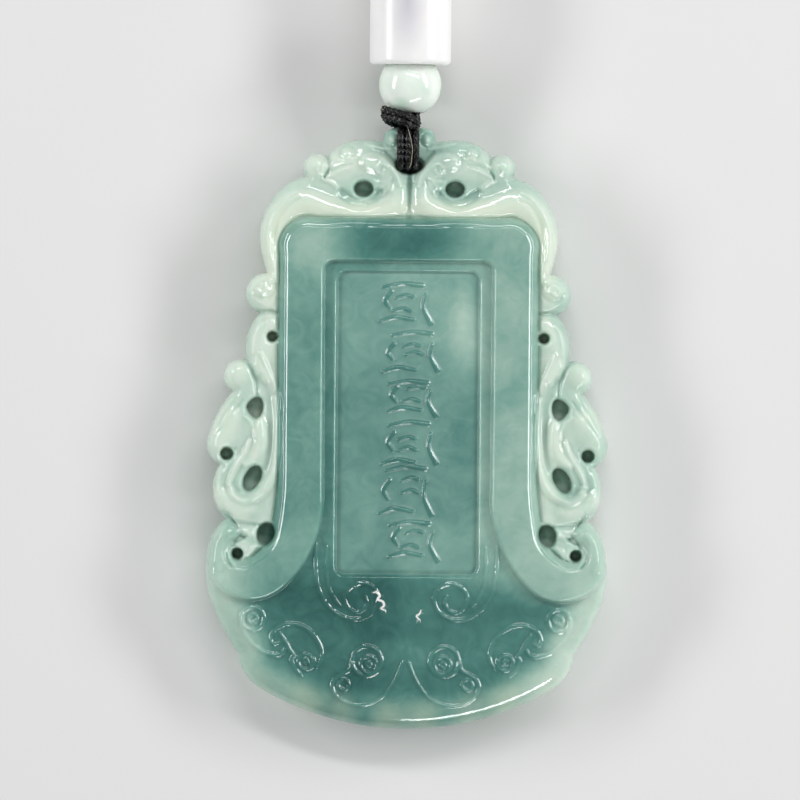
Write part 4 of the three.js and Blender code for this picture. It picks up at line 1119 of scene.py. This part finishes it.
def tone_glow_and_shade_mask(x, y, f, carved):
    """Nothing for deep teal and one for milky mint, with painted glow towards the edges and painted shade
    in the carving.
    """
    edge = f["outline"]
    lean = np.clip(x / 200, -1, 1)
    # Partly the stone's cream band and partly painted glow: the creatures are paler beside the frame.
    pale_band_and_glow = np.exp(-((f["frame"] + 18) / 11) ** 2)
    creature = 0.74 + 0.19 * pale_band_and_glow - 0.10 * f["crest"] - 0.06 * lean
    # Painted shade and highlight: the creatures are painted darker in the carved grooves and paler on the
    # raised strokes, by the strokes' rise.
    creature = creature + 0.6 * np.clip(carved, -0.25, 0.3) - 0.28 * smooth(-y, 88, 118)
    creature = creature - (0.16 + 0.08 * lean) * spot(np.abs(x), y, 168, -70, 22, 26)
    # Painted glow and shade: the frame, the ledge and the base are painted darker in the middle and paler
    # towards the outer edges.
    frame = 0.44 + 0.12 * lean - 0.46 * spot(x, y, -5, 186, 64, 28) + 0.25 * spot(x, y, -92, 186, 30, 24)
    frame = frame + (0.24 - 0.08 * lean) * smooth(np.abs(x), 150, 192)
    ledge = 0.38 + 0.28 * lean - 0.36 * spot(x, y, 0, -175, 105, 45) - 0.14 * spot(x, y, 0, 162, 60, 8)
    panel = 0.32 + 0.05 * lean + 0.22 * spot(x, y, 55, 100, 14, 40) - 0.08 * spot(x, y, 60, -40, 40, 60)
    base = 0.10 + 0.06 * smooth(np.abs(x), 60, 150) + 0.10 * spot(x, y, 0, -222, 60, 14)
    rim = 0.30 + 0.48 * smooth(x, 70, 160) + 0.36 * smooth(-x, 70, 160)
    base = mix(rim, base, smooth(edge, 12, 44))
    ledge = mix(ledge, rim, smooth(np.abs(x), 130, 172))
    pale = mix(creature, frame, smooth(f["frame"], -10, -7.5))
    pale = mix(pale, mix(ledge, base, f["base"]), smooth(f["window"], -1, 2))
    pale = mix(pale, panel, smooth(f["panel"], -1, 1.5))
    return np.clip(pale - 0.14 * smooth(glyph_share(x, y), 0.1, 0.5), 0, 1)


def cream_and_glow_mask(x, y, f):
    """One for a cream tint: a band along the frame's top that is partly painted glow, and patches of the
    lower rim.
    """
    # The band along the frame's top is partly painted glow.
    top = np.exp(-((f["frame"] + 16) / 8) ** 2) * smooth(y, 90, 190)
    patches = 0.5 + 0.5 * np.sin(x / 9) * np.sin(x / 23)
    rim = (1 - smooth(f["outline"], 14, 36)) * smooth(-y, 235, 265) * patches
    return np.clip(top + rim, 0, 1)


def frost_mask(x, y, f):
    """One where the face is left matt."""
    return smooth(f["panel"], -1, 2) * (1 - 0.85 * smooth(glyph_share(x, y), 0.05, 0.4))


front_x, front_y = front_flat.T
back_x, back_y = back_flat.T
back_pale = tone_glow_and_shade_mask(back_x, back_y, back_fields, 0)
pale = np.concatenate([tone_glow_and_shade_mask(front_x, front_y, front_fields, front_carved), 0.15 + 0.8 * back_pale])
masks = {
    "pale": pale,
    "frost": np.concatenate([frost_mask(front_x, front_y, front_fields), 0 * back_x]),
    "glow_and_cream": np.concatenate([cream_and_glow_mask(front_x, front_y, front_fields),
                            cream_and_glow_mask(back_x, back_y, back_fields)]),
    "glint": np.concatenate([smooth(glint_share(front_x, front_y), 0.1, 0.5), 0 * back_x]),
}
print("mean paleness", round(float(pale.mean()), 2))

# %% [markdown]
# Jade is no plain green: it has clouds a centimetre wide, fine veins, and a tone that runs from deep
# teal to milky mint. One ramp holds the tones, and the masks, with their painted glow and shade, say
# where on it the stone is. Noise moves it a little to and fro.

# %% The stone's tones
JADE_TONES = [(0.0, (0.031, 0.125, 0.110)), (0.2, (0.085, 0.245, 0.212)), (0.42, (0.22, 0.41, 0.345)),
              (0.7, (0.46, 0.63, 0.535)), (1.0, (0.70, 0.81, 0.70))]


def add_attribute(nodes, name):
    node = nodes.new("ShaderNodeAttribute")
    node.attribute_name = name
    return node


print("tones of jade", len(JADE_TONES))

# %% [markdown]
# The plaque is one stone, so it has one material. The polish is a low roughness and the matt panel a
# higher one with a fine grain, and the mask moves between them. The cream tint, which is partly
# painted glow, and the two painted white glints are laid over the ramp's colour. Light goes a
# millimetre into the stone, which softens the shade in the carving. Glass would be too clear for it.

# %% Polished jade
def make_jade():
    material, nodes, links, shader = node_material("carved jade")
    place = nodes.new("ShaderNodeTexCoord")
    mask, matt, glow_and_cream, glint = (add_attribute(nodes, name) for name in ("pale", "frost", "glow_and_cream", "glint"))
    clouds = add_noise(nodes, links, place, 95, 4, 0.8)
    veins = add_noise(nodes, links, place, 420, 6, 2.0)
    specks = add_noise(nodes, links, place, 2600, 2)
    shift = add_math(nodes, links, "MULTIPLY_ADD", clouds.outputs["Fac"], 0.54, -0.27)
    shift = add_math(nodes, links, "MULTIPLY_ADD", veins.outputs["Fac"], 0.20, shift)
    tone = add_math(nodes, links, "ADD", mask.outputs["Fac"], shift)
    tone = add_math(nodes, links, "SUBTRACT", tone, 0.10)
    colour = add_tones(nodes, links, tone, JADE_TONES)
    with_cream_tint_and_glow = add_mix(nodes, links, add_math(nodes, links, "MULTIPLY", glow_and_cream.outputs["Fac"], 0.24),
                     colour, (0.88, 0.89, 0.66, 1))
    # Painted highlight: two small white glints laid into the base's colour.
    glinted = add_mix(nodes, links, glint.outputs["Fac"], with_cream_tint_and_glow, (0.92, 0.92, 0.90, 1))
    links.new(glinted, shader.inputs["Base Color"])
    rough = add_math(nodes, links, "MULTIPLY_ADD", matt.outputs["Fac"], 0.36, 0.07)
    rough = add_math(nodes, links, "MULTIPLY_ADD", veins.outputs["Fac"], 0.05, rough)
    links.new(rough, shader.inputs["Roughness"])
    bump = nodes.new("ShaderNodeBump")
    bump.inputs["Distance"].default_value = 0.00003
    links.new(add_math(nodes, links, "MULTIPLY", matt.outputs["Fac"], 0.5), bump.inputs["Strength"])
    links.new(specks.outputs["Fac"], bump.inputs["Height"])
    links.new(bump.outputs["Normal"], shader.inputs["Normal"])
    shader.inputs["IOR"].default_value = 1.66
    shader.inputs["Subsurface Weight"].default_value = 0.5
    shader.inputs["Subsurface Radius"].default_value = (0.0008, 0.0014, 0.0011)
    shader.inputs["Subsurface Scale"].default_value = 1
    return material


jade = make_jade()
plaque = mesh_piece("jade_plaque_carved", plaque_vertices, plaque_faces, jade)
for name, values in masks.items():
    attribute = plaque.data.attributes.new(name, "FLOAT", "POINT")
    attribute.data.foreach_set("value", values.astype(np.float32))
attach(plaque, "root")
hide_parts("jade_plaque")
print("plaque triangles", sum(len(p.vertices) - 2 for p in plaque.data.polygons))

# %% [markdown]
# The cord goes through the crest's opening as a loop. Pulled tight, it shows as three narrow
# strands side by side, and two strands go on through the beads. Each is the same plaited tube
# along its own route: over the crest, down through the hole, and back under it.

# %% The strands through the crest and the beads
HOLE_Y = CORD_HOLE[1] * PART
CREST_TOP_Z = THICKNESS - LEVELS["crest"] / 1000
FRONT_STRAND_Z = CREST_TOP_Z + GAP + CORD_RADIUS
BACK_STRAND_Z = BACK_CREST_SET_IN / 1000 - GAP - CORD_RADIUS
KNOT_Y = bead_low[1] - GAP - 0.00062


def strand_route(x):
    return [
        (x * 0.4, KNOT_Y + 0.0004, BEAD_AXIS_Z + 0.0004),
        (x * 0.8, KNOT_Y - 0.0004, FRONT_STRAND_Z - 0.0012),
        (x, KNOT_Y - 0.0014, FRONT_STRAND_Z - 0.0002), (x, KNOT_Y - 0.0024, FRONT_STRAND_Z),
        (x, HOLE_Y + 0.0012, FRONT_STRAND_Z), (x, HOLE_Y + 0.0003, FRONT_STRAND_Z - 0.00012),
        (x, HOLE_Y - 0.00012, FRONT_STRAND_Z - 0.0007), (x, HOLE_Y - 0.0001, MIDDLE_Z + 0.001),
        (x, HOLE_Y - 0.0001, MIDDLE_Z - 0.001), (x, HOLE_Y, BACK_STRAND_Z + 0.00075),
        (x, HOLE_Y + 0.00075, BACK_STRAND_Z + 0.00008), (x, HOLE_Y + 0.0016, BACK_STRAND_Z),
        (x, KNOT_Y - 0.0013, BACK_STRAND_Z), (x * 0.8, KNOT_Y - 0.0004, BACK_STRAND_Z + 0.0005),
        (x * 0.4, KNOT_Y + 0.0004, BEAD_AXIS_Z - 0.0005),
    ]


def add_cord(name, points, radius=CORD_RADIUS, sides=30, step=0.00009):
    path, _ = smooth_path(points, step)
    vertices, faces = plaited_tube(path, radius, sides)
    piece = mesh_piece(name, vertices, faces, black_cord)
    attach(piece, "root")
    return piece


# A strand of the loop is its place across and its radius.
STRANDS = {"loop_left": (-0.00088, 0.00045), "loop_middle": (-0.00011, 0.00045),
           "loop_right": (0.00061, 0.00039)}
held = [add_cord(name, strand_route(x), radius) for name, (x, radius) in STRANDS.items()]
held += [add_cord(name, [(x, KNOT_Y, BEAD_AXIS_Z), (x, TUBE_END, BEAD_AXIS_Z)], sides=12, step=0.0003)
         for name, x in (("bead_strand_left", -STRAND_X), ("bead_strand_right", STRAND_X))]
print("strands", len(held))

# %% [markdown]
# The knot is a short wrap of the same cord whose end stands out on the left. One long route could
# tie a true knot, but only its outer turns are seen, so these are drawn one by one in millimetres,
# each with its own thickness, and a thicker core fills the inside.

# %% The knot
KNOT_TURNS = {
    "knot_over": (0.47, [(0.6, 30.3, 4.3), (0.55, 30.7, 5.4), (0.05, 31.1, 6.1), (-0.8, 31.4, 6.0),
                         (-1.8, 31.7, 5.5), (-2.7, 32.0, 4.9)]),
    "knot_under": (0.47, [(0.4, 29.9, 4.8), (0.2, 30.2, 6.0), (-0.45, 30.6, 6.35), (-1.2, 30.95, 6.0),
                          (-2.0, 31.2, 5.4), (-2.65, 31.45, 4.8)]),
    "knot_behind": (0.50, [(0.8, 30.8, 3.6), (0.2, 30.6, 3.0), (-0.9, 30.5, 3.3), (-1.6, 30.65, 4.2),
                           (-2.1, 30.9, 4.3), (-2.4, 31.2, 4.1)]),
    "knot_core": (0.66, [(0.3, 30.9, 4.5), (-0.4, 31.0, 4.9), (-1.4, 31.1, 4.7)]),
}
for name, (radius, points) in KNOT_TURNS.items():
    held.append(add_cord(name, [tuple(c / 1000 for c in point) for point in points], radius / 1000))
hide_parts("held_cord")
print("held cord pieces", len(held))

# %% [markdown]
# A pale thread runs down beside the middle strand, and the cut end of the knot shows a few frayed
# fibre tips that are pale where the dye didn't reach. Hair particles would scatter them by chance.
# There are six in all, so each is a thin tube of its own.

# %% Thread and fibres
FIBRE_TONES = [(0, (0.30, 0.26, 0.16)), (1, (0.62, 0.58, 0.46))]


def make_pale_fibre():
    material, nodes, links, shader = node_material("pale fibre")
    place = nodes.new("ShaderNodeTexCoord")
    noise = add_noise(nodes, links, place, 3000, 2)
    colour = add_tones(nodes, links, noise.outputs["Fac"], FIBRE_TONES)
    links.new(colour, shader.inputs["Base Color"])
    shader.inputs["Roughness"].default_value = 0.6
    return material


pale_fibre = make_pale_fibre()
THREAD_Z = 1000 * FRONT_STRAND_Z + 0.33
FIBRES = {
    "light_thread": (0.034, [(-0.16, 30.0, THREAD_Z - 0.3), (0.10, 29.0, THREAD_Z),
                             (0.27, 28.0, THREAD_Z), (0.22, 27.2, THREAD_Z),
                             (0.16, 26.6, THREAD_Z - 0.05), (-0.02, 26.1, THREAD_Z - 0.45)]),
}
for k, (across, up, height) in enumerate([(-0.18, 0.34, 0.25), (0.0, 0.40, 0.1), (0.12, 0.30, 0.3),
                                          (-0.34, 0.22, 0.0), (-0.42, 0.02, 0.2)]):
    root = (-2.72 + 0.06 * k, 31.95 + 0.05 * (k % 2), 4.9 + 0.1 * k)
    FIBRES[f"fibre_{k}"] = (0.039, [root, (root[0] + 0.6 * across, root[1] + 0.6 * up, root[2] + height),
                                    (root[0] + across, root[1] + up, root[2] + 0.8 * height)])
for name, (radius, points) in FIBRES.items():
    path, _ = smooth_path([tuple(c / 1000 for c in point) for point in points], 0.00008)
    vertices, faces = plaited_tube(path, radius / 1000, 8)
    piece = mesh_piece(name, vertices, faces, pale_fibre)
    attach(piece, "root")
print("fibres", len(FIBRES))
